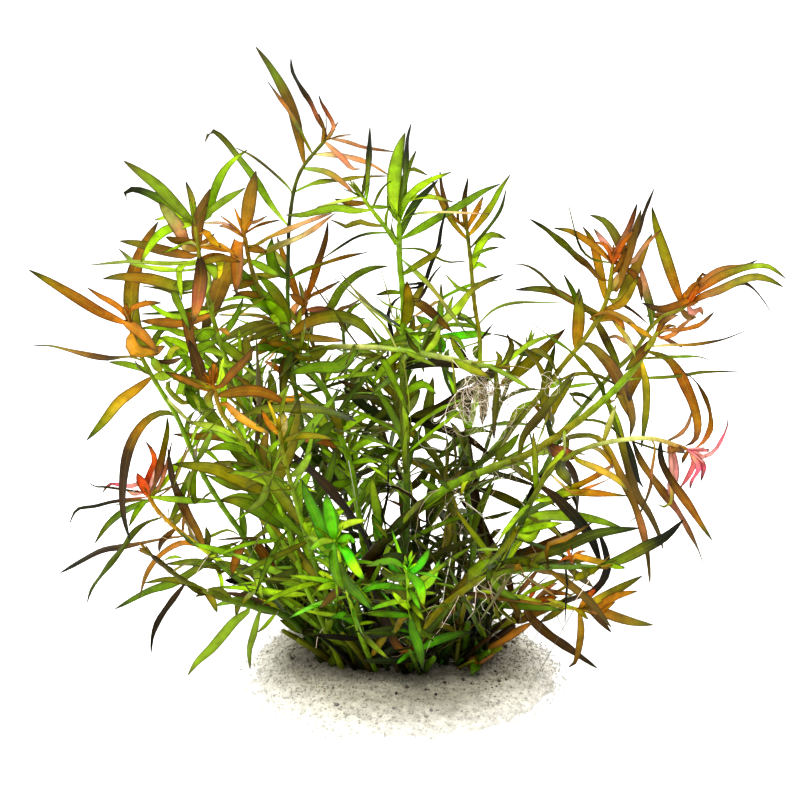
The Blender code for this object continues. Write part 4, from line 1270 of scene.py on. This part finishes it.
# The high right stem: a wide loose crown of olive, orange and red leaves
grow_leaves("leaves_right_high", "stem_right_high", "leaf_olive", "leaf_high_long leaf_high_upright", """
608,260 597,248 583,238 570,231 554,228 | 2.6 amber amber bronze moss
611,252 603,241 594,229 | 2.6 flame salmon blush umber
612,258 606,246 594,242 | 1.6 flame orange
612,256 621,243 630,225 637,204 | 2.5 flame salmon clay umber
613,262 623,243 634,230 | 2.0 flame orange
616,290 622,272 630,248 636,228 641,210 | 3.6 bronze rust brown umber
613,278 619,264 627,248 | 1.8 rust brown
626,258 637,235 645,212 654,189 | 2.0 rust umber black
628,262 620,245 612,230 603,220 590,215 | 3.6 rust brown moss forest
618,302 628,284 638,264 645,248 652,234 | 4.3 olive olive bronze moss -12
632,262 641,250 650,240 661,230 | 2.0 salmon salmon orange
612,292 617,280 624,268 | 2.8 olive salmon
603,300 600,272 595,250 590,237 583,227 | 3.4 ochre ochre amber moss
599,278 590,267 575,254 560,240 545,228 530,219 | 2.2 bronze brown moss moss dusk 14
594,260 583,252 577,240 573,225 569,207 | 1.0 moss dusk moss
585,308 570,300 555,292 535,289 515,290 | 2.9 olive bronze brown moss dusk
566,297 552,285 540,273 526,265 514,264 | 1.4 bronze moss dusk dusk
579,304 572,290 564,275 | 2.3 olive green dusk
581,306 580,296 579,287 | 1.7 umber dusk
590,318 607,311 626,319 637,329 643,340 | 2.0 orange bronze moss
618,366 610,348 600,328 589,311 | 3.4 moss umber olive
636,346 624,341 614,336 606,340 | 1.9 clay salmon umber
532,398 518,410 507,430 | 2.4 green olive
524,502 536,484 550,466 | 1.6 dusk black
576,348 578,330 579,312 579,288 | 4.8 ochre bronze olive moss 6
601,311 621,304 631,290 638,276 | 3.2 bronze olive 4
611,272 628,270 638,280 642,301 | 2.4 rust brown
600,325 608,317 618,319 625,330 | 3.4 olive amber orange 6
610,300 624,305 636,313 648,324 | 1.2 brown umber
""", "bottle forest umber/moss green olive")

# The long stem that reaches furthest right, lit yellow-green, with rust-brown leaves that hang
grow_leaves("leaves_right_long", "stem_right_long stem_right_back", "leaf_rust",
            "leaf_long_hanging leaf_long_brown", """
652,350 672,345 690,345 706,343 725,339 745,331 | 1.3 straw bronze umber dusk
646,361 660,357 690,356 702,357 709,360 | 1.3 olive moss green dusk
650,353 666,357 678,370 687,388 694,405 698,425 695,440 685,446 | 3.9 olive rust rust bronze clay -6
624,381 640,378 665,377 685,375 702,372 738,371 | 1.2 lime moss moss umber
644,363 645,380 646,402 644,425 641,448 | 2.9 yellow olive olive moss dusk
584,344 591,346 602,356 614,371 625,395 633,420 630,437 | 5.0 olive rust brown bronze umber -22
643,362 638,373 631,387 629,401 | 4.2 ochre bronze umber -22
638,362 632,348 623,333 612,320 | 1.9 lime straw yellow ochre
606,402 611,408 617,425 622,447 629,470 634,492 648,513 658,533 663,549 \
| 3.4 lime olive umber brown umber umber
606,400 602,386 588,368 575,354 556,340 530,322 | 1.9 bottle olive green moss
502,385 520,370 541,352 565,329 | 5.0 olive olive brown
516,455 524,436 541,415 555,396 575,372 | 3.2 moss umber moss bottle
543,409 546,382 555,345 | 3.6 olive bottle
655,340 642,352 625,371 | 3.4 umber brown moss
660,330 668,326 676,326 | 1.6 orange umber
655,328 651,310 645,288 640,264 | 3.4 forest moss salmon clay
656,338 640,330 628,322 | 2.0 ochre amber
560,380 578,374 598,376 620,387 | 1.6 olive dusk
570,395 583,395 593,401 | 2.0 moss dusk
580,423 596,421 611,427 623,440 | 1.2 moss dusk
600,440 609,425 616,405 | 2.2 olive pale
664,338 672,342 682,347 | 1.5 clay umber
653,333 662,323 669,318 678,315 | 2.4 rust brown salmon
612,404 619,394 624,405 629,417 | 2.6 olive brown
548,417 556,404 565,391 574,377 | 2.8 brown olive moss
558,380 565,386 580,385 597,383 | 1.5 lime green
550,389 556,383 563,378 | 2.8 lime green
551,430 554,422 550,412 | 1.8 moss bottle
498,456 508,447 519,434 | 3.4 moss green
563,452 566,446 569,439 | 3.2 lime olive
610,408 613,419 620,437 | 1.8 moss bottle
352,600 368,572 386,545 | 4.2 umber brown umber 8
386,545 405,520 425,503 | 5.0 umber dusk dusk 12
""", "umber bottle forest/green lime olive")

# The right rear stem, which ends in a sheaf of long bronze leaves
grow_leaves("leaves_right_back", "stem_right_back", "leaf_olive", "leaf_back_long leaf_back_wide", """
681,301 672,276 663,248 656,225 652,207 | 4.4 orange bronze olive olive moss 4
683,298 700,284 720,271 745,266 757,260 | 3.2 orange rust rust bronze umber
690,298 706,286 722,276 745,268 765,266 776,271 786,279 | 3.0 flame orange olive lime moss 14
686,302 700,297 718,291 737,282 755,277 770,280 783,287 | 3.4 orange bronze olive olive moss 10
738,284 752,288 762,299 771,312 | 1.5 salmon umber black
692,299 676,305 660,309 642,303 | 3.2 orange rust brown dusk
664,330 683,329 700,324 714,312 | 2.0 salmon orange orange umber
662,338 674,334 684,324 694,317 | 1.9 orange salmon
692,313 700,309 703,315 | 3.0 blush clay
688,302 694,293 700,284 | 2.6 flame rust
687,303 690,290 700,280 | 2.6 orange rust
682,311 690,318 697,317 | 2.8 brown rust
690,300 684,306 666,314 646,316 | 3.2 rust brown
700,276 706,276 712,278 | 1.4 orange dusk
""", "dusk bottle forest/bottle moss olive")

# The pink-tipped stem: small rose leaves at its end, and long brown ones that trail below it
grow_leaves("leaves_right_pink", "stem_right_pink", "leaf_rust", "leaf_pink_trailing", """
668,441 680,434 688,424 692,410 | 1.5 umber clay umber
688,449 700,446 709,434 712,421 708,402 697,382 680,369 | 1.8 clay rust brown umber dusk
699,457 712,453 720,442 727,427 727,417 | 1.5 blush blush pink umber
690,453 694,462 691,471 686,480 680,488 | 2.0 clay pink pink
692,455 699,466 697,474 692,481 690,489 | 1.9 salmon pink pink dusk
697,458 703,464 704,470 701,481 | 2.0 red pink dusk
671,446 673,460 674,475 671,488 673,503 | 3.7 clay blush blush pink
688,452 684,458 682,463 | 1.5 rust umber
671,446 672,470 672,490 671,503 663,507 657,504 | 1.6 clay blush salmon olive moss
651,438 655,448 652,470 651,485 646,500 640,513 630,522 | 1.1 ochre clay umber umber
634,445 640,460 652,478 664,494 676,509 687,528 697,547 703,563 | 2.9 dusk bronze brown clay brown umber -4
662,441 661,456 666,470 676,486 690,506 702,525 712,540 | 2.8 black umber brown rust rust moss
628,442 633,461 638,479 643,487 | 2.2 dusk black
598,437 609,450 620,475 632,500 640,522 645,542 648,560 650,584 \
| 2.8 olive bronze brown brown clay umber umber
547,448 556,451 567,454 577,458 | 5.0 umber clay umber 18
552,447 566,439 583,436 598,439 612,460 | 2.2 umber moss bronze
628,443 650,447 673,454 | 0.8 dusk moss
670,450 677,449 685,453 | 3.0 rust umber 4
""", "forest green/green lime olive")

# The lower right stems: dark arching leaves, olive and bright blades
grow_leaves("leaves_right_low", "stem_right_low stem_right_back stem_right_pink", "leaf_olive",
            "leaf_low_right", """
577,460 598,469 615,478 629,492 | 2.6 olive ochre olive
533,500 548,498 562,491 583,482 600,473 618,461 | 2.4 lime lime ochre orange salmon
572,492 588,488 603,482 612,477 | 1.6 straw orange salmon
533,500 546,499 560,494 575,492 600,493 628,496 | 2.9 lime lime ochre orange olive
540,489 553,495 576,518 591,537 602,567 | 4.0 umber dusk black 14
464,489 489,491 515,502 540,516 559,534 572,544 | 3.4 umber moss umber
546,451 561,458 571,470 576,486 576,508 574,535 571,557 | 2.1 umber black
514,531 536,517 566,516 596,520 624,529 | 3.8 lime green
516,533 541,526 562,523 | 3.0 bright lime
536,559 566,546 599,533 639,528 | 4.0 moss bottle
478,562 499,559 529,552 566,536 591,523 | 4.4 umber brown umber
603,569 624,558 645,547 666,536 683,520 | 4.1 forest moss dusk black -4
572,556 596,561 624,567 | 2.4 orange ochre olive
572,558 568,552 572,547 | 1.4 flame rust
571,558 564,558 558,562 | 1.6 orange flame
573,557 580,552 586,551 | 1.4 rust orange
592,592 601,583 607,568 605,550 597,528 | 3.0 umber black black
500,551 511,545 523,541 | 5.0 bottle forest
471,576 482,567 493,559 | 5.0 moss green
461,499 479,518 489,541 500,559 509,582 516,613 | 3.6 umber brown
546,571 567,582 591,602 611,627 | 2.8 bronze umber
541,571 520,560 500,562 | 3.0 moss bottle
488,576 500,590 520,600 | 3.0 green forest
474,475 465,482 461,496 | 1.8 lime olive
461,518 457,535 459,553 | 2.8 neon bright
479,519 495,517 513,511 | 1.8 moss bottle
534,494 535,470 533,432 | 2.2 green olive
442,492 431,486 419,479 | 2.6 forest green
519,598 532,590 546,585 561,578 | 2.0 lime olive
563,552 567,580 566,600 565,622 | 0.8 dusk black
518,597 527,583 540,567 | 2.0 umber clay umber
565,569 580,577 593,587 | 2.6 umber dusk
548,546 564,540 580,531 592,523 | 2.0 umber bronze umber
552,528 560,535 569,546 | 1.6 moss olive
609,565 617,567 625,568 | 1.8 lime green
529,507 538,495 548,500 556,507 | 1.8 lime olive
519,535 528,538 540,531 | 3.4 lime green
516,458 528,466 531,480 | 1.6 green moss
563,459 560,468 566,478 571,487 | 4.2 dusk moss umber
590,443 600,450 609,460 613,469 | 1.8 straw ochre amber
564,500 573,497 577,509 | 1.6 umber dusk
491,537 496,532 501,529 | 2.4 moss olive
574,578 592,571 601,567 | 2.8 olive moss
""", "umber moss forest/moss olive bronze")

# The yellow stem at the lower right, with a bright orange and yellow crown
grow_leaves("leaves_right_yellow", "stem_right_yellow", "leaf_ochre", "leaf_yellow_orange", """
582,606 599,599 620,588 642,576 | 3.4 yellow olive moss
585,606 599,606 616,596 637,591 | 3.2 orange amber
583,610 600,611 613,616 633,622 653,625 | 3.8 orange moss 8
585,610 591,611 599,619 611,632 | 2.6 brown umber
536,598 545,592 558,593 572,595 | 2.2 salmon clay orange
530,598 534,588 531,580 | 2.0 flame clay
540,599 548,588 557,583 | 2.0 orange flame salmon
527,612 545,631 562,643 579,655 597,668 | 3.8 brown umber
579,612 581,632 576,660 569,667 | 2.8 ochre brown
470,664 487,655 503,641 523,626 | 4.0 brown orange
483,650 493,645 516,632 533,622 | 3.4 rust orange
484,632 504,624 524,616 545,608 | 3.4 moss olive -10
575,607 560,603 545,598 | 1.5 lime ochre
582,604 590,595 596,588 | 2.6 amber red
566,606 552,615 540,622 | 2.6 olive umber
597,612 605,609 615,602 | 2.4 orange amber
574,608 582,613 588,619 | 2.0 yellow moss
463,660 473,660 486,653 502,643 | 3.0 umber brown rust
516,622 540,611 558,604 578,597 602,586 | 3.0 umber bronze umber umber -10
398,655 425,657 452,656 480,656 | 1.4 black black
541,600 549,599 557,597 | 2.6 flame orange
494,621 499,614 503,608 | 2.6 forest dusk
""", "bottle umber forest/olive bronze moss", 0.06, 28.0)

# The young front stems: vivid green whorls near the sand, lit from the front
grow_leaves("leaves_front_left", "stem_front_left stem_left_arching", "leaf_lime", "leaf_front", """
335,541 330,518 326,493 | 4.6 vivid vivid leafy
338,535 338,529 349,523 367,520 | 2.6 lime lime
335,536 323,541 309,551 | 2.6 lime vivid
339,536 348,538 356,542 | 3.0 leafy vivid
303,521 316,538 341,566 | 4.2 lime leafy
335,541 333,555 337,578 345,592 | 3.4 leafy forest 24
336,545 346,551 354,566 364,580 | 3.8 vivid neon lime vivid 20
340,560 346,582 359,596 372,610 | 3.4 forest leafy 16
345,590 330,585 315,590 | 3.0 leafy lime
350,605 366,590 380,580 | 3.0 vivid leafy
355,625 342,615 330,618 | 3.0 leafy vivid
327,545 318,520 308,498 302,480 | 4.4 vivid leafy
341,548 334,525 327,498 | 4.8 leafy vivid
376,538 378,518 374,496 372,476 | 3.6 leafy lime
384,540 378,528 372,514 | 3.4 vivid forest
355,560 364,551 377,541 | 4.0 neon leafy
372,668 366,645 361,622 359,600 | 1.2 lime vivid
335,663 322,645 310,618 303,605 | 4.0 bottle moss
320,650 308,630 299,610 | 3.8 moss bottle
350,658 340,640 330,620 | 3.2 forest leafy
345,583 333,595 320,608 | 2.8 umber brown
330,592 322,586 314,590 | 2.4 olive yellow
""", "dusk bottle black/vivid forest lime green", 0.16, 23.0)
grow_leaves("leaves_front_right", "stem_front_right stem_centre_slim", "leaf_lime", "", """
408,568 391,561 366,566 | 2.6 vivid leafy 12
406,590 397,587 379,586 362,591 | 2.4 leafy vivid 8
408,570 409,574 420,586 424,606 | 3.8 leafy vivid lime 18
408,617 413,630 419,648 423,670 | 3.8 leafy leafy bottle 6
411,600 430,582 440,559 | 3.0 lime vivid
450,498 449,526 442,557 | 3.6 lime yellow
456,624 467,632 476,642 494,653 | 2.8 vivid leafy lime 22
474,672 477,655 475,638 | 3.0 forest leafy 24
409,580 395,572 388,560 | 2.8 vivid neon
408,575 422,562 430,548 | 2.8 neon leafy
414,640 400,630 390,632 | 2.6 leafy vivid
372,656 378,646 388,633 | 2.8 ochre moss
402,650 410,643 418,638 | 1.4 orange amber
418,652 407,655 396,664 | 2.0 leafy vivid
429,584 434,574 441,559 | 2.6 lime lime
385,625 378,616 371,611 | 2.0 lime yellow
402,618 398,626 393,634 | 2.4 ochre moss
404,560 393,556 380,557 | 3.2 dusk bottle 2
408,575 396,577 380,570 | 3.6 leafy dusk 4
409,600 397,589 384,593 | 3.6 moss bottle 2
414,648 401,650 390,632 380,606 371,586 | 3.4 rust umber umber black 4
""", "dusk bottle black/vivid forest lime green", 0.16, 23.0)

# The stems at the back: plain dark and mid green leaves, mostly hidden from the front
grow_leaves("leaves_back_left", "stem_back_left", "leaf_green", "", """
343,332 352,322 366,318 | 1.6 forest green
""", "bottle forest/green forest bottle")
grow_leaves("leaves_back_right", "stem_back_right", "leaf_green", "", """
527,346 520,352 508,352 | 3.0 forest moss
522,356 534,352 545,356 | 3.0 bottle forest
""", "bottle forest/green forest bottle")

# The tufts of young leaves that close each stem's tip
TIPS = {
    "stem_tall": "bronze salmon", "stem_left_crown": "olive green", "stem_left_arching": "amber orange",
    "stem_left_outer": "rust orange", "stem_left_green": "green bright", "stem_left_inner": "orange rust",
    "stem_left_low": "red orange", "stem_left_creeping": "moss rust", "stem_left_dark": "brown rust",
    "stem_orange_crown": "orange clay", "stem_yellow_crown": "olive yellow", "stem_centre": "bright lime",
    "stem_centre_thick": "olive green", "stem_centre_slim": "ochre olive", "stem_centre_dark": "moss umber",
    "stem_slim_dark": "green neon", "stem_right_high": "flame orange", "stem_right_long": "lime orange",
    "stem_right_back": "flame rust", "stem_right_pink": "pink blush", "stem_right_low": "olive rust",
    "stem_right_yellow": "orange yellow", "stem_front_left": "lime bright", "stem_front_right": "neon lime",
    "stem_back_left": "green bright", "stem_back_right": "moss green", "stem_centre_fork": "green moss",
    "stem_across": "moss bronze"}
TIP_LEAVES = 7
TIP_LEAF = 13.0 * MM
draw = random.Random(5)
tips = []
for node, names in TIPS.items():
    points = stems[node]["points"]
    tip = Vector(points[-1])
    up = Vector(points[-1] - points[-3]).normalized()
    for number in range(TIP_LEAVES):
        angle = number * math.pi / 2 + draw.uniform(-0.4, 0.4)
        out = Vector((math.cos(angle), math.sin(angle), 0.2))
        out = (out - up * out.dot(up)).normalized()
        reach = TIP_LEAF * draw.uniform(0.45, 1.0)
        lean = draw.uniform(0.15, 0.75)
        spine = np.array([tip - up * 1.5 * MM + (up * (t - 0.25 * t * t) + out * lean * t) * reach
                          for t in np.linspace(0.0, 1.0, 8)])
        side = Vector(spine[-1] - spine[0]).cross(up + out * 0.01)
        tips.append(blade(spine, side, draw.uniform(0.9, 1.7) * MM, tints_of(names.split()), draw))
make_piece("leaves_tips", tips, leaf_tissue, "leaf_lime")


# THE FOOT OF THE BUSH
# Stumps of older stems, short shoots and dead leaves, matted together where the bunch was pushed into the
# sand. They are soft and nearly black, with a few live green blades between them.
STUMPS = 150
STUMP_REACH = (6 * MM, 30 * MM)
STUMP_COLOURS = ("black dusk", "dusk bottle", "black umber", "umber moss", "dusk forest", "black black")
STUMP_TAPER = np.array([1.1, 1, 1, 1, 0.95, 0.95, 0.9, 0.7])
LITTER = 170
LITTER_COLOURS = "black dusk umber black bottle dusk forest umber bottle green brown neon moss black".split()
LITTER_ENDS = 1.12  # in shares of the reach of the stems' feet


def foot_place(draw):
    """A place on the sand among the stems' feet, and the way out of the bush from there."""
    share, angle = math.sqrt(draw.random()), draw.uniform(0.0, 2 * math.pi)
    x = FOOT_MIDDLE.x + FOOT_REACH[0] * share * math.cos(angle)
    y = FOOT_MIDDLE.y + FOOT_REACH[1] * share * math.sin(angle)
    out = Vector((math.cos(angle) * share, math.sin(angle) * share, 0.0))
    return Vector((x, y, sand_height(x, y) - 1.5 * MM)), out


draw = random.Random(8)
stumps = []
for _ in range(STUMPS):
    start, out = foot_place(draw)
    lean = (Vector((draw.gauss(0, 0.28), draw.gauss(0, 0.28), 1.0)) + out * 0.55).normalized()
    reach = draw.uniform(*STUMP_REACH)
    points = [start + lean * reach * t + out * reach * 0.2 * t * t for t in (0.0, 0.35, 0.7, 1.0)]
    count = len(STUMP_TAPER)
    line = evenly(smoothed(points, 3), count)
    radius = draw.uniform(0.7, 1.6) * MM
    low, high = tints_of(draw.choice(STUMP_COLOURS).split())
    tints = [low + (high - low) * t for t in np.linspace(0.0, 1.0, count)]
    stumps.append(tube(line, radius * STUMP_TAPER, tints, 8, {"joint": [0.0] * count}))
make_piece("foot_stumps", stumps, herb_stem, "stem_brown")

litter = []
for _ in range(LITTER):
    start, out = foot_place(draw)
    start.z += draw.uniform(0.0, 9.0) * MM
    go = (Vector((draw.gauss(0, 0.6), draw.gauss(0, 0.6), draw.uniform(0.15, 1.2))) + out * 0.9).normalized()
    droop = Vector((0, 0, draw.uniform(0.0, 0.8)))
    reach = draw.uniform(9, 25) * MM
    spine = np.array([start + (go * t - droop * t * t * 0.6) * reach for t in np.linspace(0.0, 1.0, 8)])
    spine[:, 2] = [max(z, sand_height(x, y) + 0.8 * MM) for x, y, z in spine]
    side = Vector(spine[-1] - spine[0]).cross(Vector((0.1, 0.2, 1.0)))
    tints = tints_of((draw.choice(LITTER_COLOURS), draw.choice(LITTER_COLOURS)))
    if foot_share(*spine[-1][:2]) > LITTER_ENDS:
        continue
    litter.append(blade(spine, side, draw.uniform(1.2, 3.0) * MM, tints, draw, draw.uniform(-1.2, 1.2)))
make_piece("foot_litter", litter, leaf_tissue, "leaf_brown")


# THE ROOTS
# Hair roots, 0.2 to 0.75 mm thick, that grow from the joints of the stems: white when young, and later tan or
# grey. One mass hangs from the end of the side shoot, and single ones hang all through the bush.
ROOT_COLOURS = ("#F6F0E4", "#E8D6C4", "#C4B090", "#8C7C5C", "#625E56")
ROOT_TAPER = 0.7  # the share of its thickness that a root loses on its way to its end

root_hair, tree, output = new_material("Hair root")
# Wet fibre: matt, slightly see-through, with brown scurf where silt has settled on it
tint = add_node(tree, "Attribute", attribute_name="tint")
where = add_node(tree, "TexCoord").outputs["Object"]
darkening = add_node(tree, "TexNoise", {"Vector": where, "Scale": 1 / (3.0 * MM), "Detail": 3.0})
tone = add_node(tree, "MapRange", {"Value": darkening.outputs["Fac"], 1: 0.35, 2: 0.65, 3: 0.84, 4: 1.1})
toned = add_node(tree, "Mix", {0: 1.0, 6: tint.outputs["Color"], 7: tone.outputs[0]},
                 data_type="RGBA", blend_type="MULTIPLY")
scurf = add_node(tree, "Bump", {"Height": darkening.outputs["Fac"], "Strength": 0.3, "Distance": 0.1 * MM})
skin = add_node(tree, "BsdfPrincipled", {
    "Base Color": toned.outputs[2], "Roughness": 0.6, "IOR": 1.4, "Normal": scurf.outputs[0]})
glow = add_node(tree, "BsdfTranslucent", {"Color": toned.outputs[2]})
mixed = add_node(tree, "MixShader", {0: 0.3, 1: skin.outputs[0], 2: glow.outputs[0]})
tree.links.new(mixed.outputs[0], output.inputs[0])


def hair(points, width, colour):
    """A thin root along these points that tapers to its end."""
    line = evenly(smoothed(points, 4), max(6, len(points) * 3))
    shares = np.linspace(0.0, 1.0, len(line))
    return tube(line, width / 2 * (1.0 - ROOT_TAPER * shares), [linear(colour)] * len(line), 4)


# Wavy ones run through the frame's tuft, from its top right to its lower left
TUFT_HAIRS = 6
TUFT_CURLS = 52
CURL_STEPS = 20
CURLS_AT = ((462, 417), (456, 431), (470, 405), (485, 398), (500, 394), (515, 391), (530, 392), (478, 410),
            (505, 406), (520, 412), (468, 424), (490, 416), (498, 427), (476, 421))
draw = random.Random(21)
tuft_low, tuft_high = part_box("root_tuft")
size = tuft_high - tuft_low
tuft = []
for _ in range(TUFT_HAIRS):
    top = Vector((draw.uniform(0.55, 1.0), draw.uniform(0.2, 0.8), draw.uniform(0.75, 1.0)))
    end = Vector((draw.uniform(0.0, 0.5), draw.uniform(0.1, 0.9), draw.uniform(0.0, 0.6)))
    start = Vector(tuft_low[i] + size[i] * top[i] for i in range(3))
    stop = Vector(tuft_low[i] + size[i] * end[i] for i in range(3))
    points = []
    for t in range(7):
        stray = Vector([draw.gauss(0, 2.0 * MM) for _ in range(3)])
        points.append(start.lerp(stop, t / 6) + stray * (t > 0))
    tuft.append(hair(points, draw.uniform(0.2, 0.34) * MM, draw.choice(ROOT_COLOURS)))
# Finer ones start along the top of its left half, and loop on their way to a place drawn in the picture
middle = (tuft_low + tuft_high) / 2
for _ in range(TUFT_CURLS):
    across, down = draw.choice(CURLS_AT)
    aim = seen(across + draw.gauss(0, 9), down + draw.gauss(0, 7), middle.y + draw.uniform(-8, 8) * MM)
    at = Vector((draw.uniform(tuft_low.x, middle.x), middle.y, tuft_high.z - draw.uniform(0.0, 9.0) * MM))
    heading, turn = draw.uniform(0, 2 * math.pi), draw.choice((-1, 1)) * draw.uniform(0.3, 0.9)
    curl = [at]
    for _ in range(CURL_STEPS):
        heading += turn + draw.gauss(0, 0.25)
        if draw.random() < 0.12:
            turn = -turn
        loop = Vector((math.cos(heading), draw.gauss(0, 0.3), math.sin(heading)))
        at = at + loop * 2.2 * MM + (aim - at) * 0.18
        curl.append(at)
    tuft.append(hair(curl, draw.uniform(0.20, 0.31) * MM, draw.choice(ROOT_COLOURS[:4])))
make_piece("roots_tuft", tuft, root_hair, "roots", "root_tuft")


def above_ground(place):
    """The place, or the one above it that is just clear of the sand."""
    return Vector((place.x, place.y, max(place.z, sand_height(place.x, place.y) + 0.5 * MM)))


def wander(start, towards, reach, draw):
    """The points of a root that grows from `start` and strays as it goes."""
    points, at, go = [start.copy()], start.copy(), towards.normalized()
    steps = max(4, int(reach / (5 * MM)))
    for _ in range(steps):
        go = (go + Vector([draw.gauss(0, 0.5) for _ in range(3)]) * 0.6 + Vector((0, 0, -0.12))).normalized()
        at = at + go * reach / steps
        at.y = min(max(at.y, cad_box[0][1] + MM), cad_box[1][1] - MM)
        at = above_ground(at)
        points.append(at.copy())
    return points


# Single roots, drawn where the picture shows them, from one of the stems: places | thickness in mm, which of
# the root colours, and how far in front of its stem it hangs in mm, 4 where the row doesn't say
ROOTS = """
451,540 450,562 446,580 443,600 443,620 440,640 438,657 | 0.75 0 30
493,527 508,534 534,544 559,555 581,568 600,575 | 0.55 0 22
456,494 471,506 493,527 | 0.65 0 24
600,574 584,588 574,603 | 0.5 1 14
574,603 560,634 546,660 530,686 | 0.4 4 18
322,626 318,636 316,648 | 0.5 1
348,455 352,480 358,510 | 0.5 0
472,560 480,572 474,585 484,596 478,608 470,618 | 0.4 0 24
460,566 468,580 462,592 470,602 482,612 | 0.4 1 24
484,575 476,588 488,596 480,606 490,614 | 0.4 0 24
502,563 505,578 500,592 | 0.4 1 20
517,610 522,628 528,648 | 0.4 4 14
545,585 548,603 543,620 535,638 522,654 | 0.4 4 18
555,551 570,562 585,572 600,576 | 0.4 4
601,603 595,612 590,625 582,643 | 0.4 4
552,612 562,627 570,644 | 0.4 4
478,495 495,505 512,516 | 0.4 1 18
500,470 512,466 522,474 512,484 500,480 | 0.35 4
490,462 500,474 515,486 | 0.35 4
524,478 526,500 530,520 | 0.35 4
210,600 195,597 180,600 164,601 | 0.6 3
203,566 196,575 204,582 214,578 | 0.5 1 14
214,577 205,572 196,579 208,584 | 0.5 1 14
455,350 462,372 470,392 478,415 | 0.35 1 18
484,430 476,448 462,462 456,480 | 0.4 2 20
470,436 462,450 470,466 460,484 | 0.35 4 20
476,440 466,456 476,470 466,492 | 0.35 1 20
430,512 438,522 430,535 440,548 432,560 | 0.4 3 20
440,508 428,520 436,534 426,546 | 0.4 2 20
446,514 438,528 446,540 436,552 | 0.35 1 20
188,505 186,520 182,536 | 0.35 3
158,515 166,526 160,535 169,540 | 0.7 2 6
172,524 164,532 158,529 | 0.5 1 6
176,500 172,518 165,536 | 0.35 3
150,505 144,530 141,548 | 0.3 4
157,510 153,530 148,556 | 0.3 4
548,384 552,400 550,420 | 0.35 1 14
562,372 560,392 563,412 | 0.3 4 14
"""
loose = []
for row in ROOTS.strip().splitlines():
    places, (width, colour, *forward) = read_row(row)
    _, start = nearest_point(stems, places[0])
    depth = start.y - (float(forward[0]) if forward else 4.0) * MM
    points = [start, *(above_ground(seen(*place, depth)) for place in places[1:])]
    loose.append(hair(points, float(width) * MM, ROOT_COLOURS[int(colour)]))
# And many that stray from the joints of the darker stems: how many, and how long the longest is in mm
for node, count, reach in (
        ("stem_centre_slim", 46, 46), ("stem_right_long", 44, 44), ("stem_left_low", 26, 26),
        ("stem_left_creeping", 24, 24), ("stem_centre_dark", 26, 32), ("stem_right_low", 34, 30),
        ("stem_right_back", 26, 36), ("stem_slim_dark", 24, 36), ("stem_left_dark", 20, 30),
        ("stem_centre_thick", 26, 34), ("stem_right_yellow", 14, 26), ("stem_back_left", 16, 34),
        ("stem_back_right", 16, 34)):
    stem = stems[node]
    for _ in range(count):
        share = draw.choice([joint for joint in stem["joints"] if joint < 0.75])
        start = Vector(stem["points"][int(share * (len(stem["points"]) - 1))])
        towards = Vector((draw.gauss(0, 1), draw.gauss(0, 1), draw.uniform(-1.2, 0.2)))
        points = wander(start, towards, reach * MM * draw.uniform(0.4, 1.0), draw)
        if all(inside(shown_at(point), DENSE) for point in points[1:]):
            loose.append(hair(points, draw.uniform(0.2, 0.36) * MM, draw.choice(ROOT_COLOURS[1:])))
make_piece("roots_loose", loose, root_hair, "roots")

low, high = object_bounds()
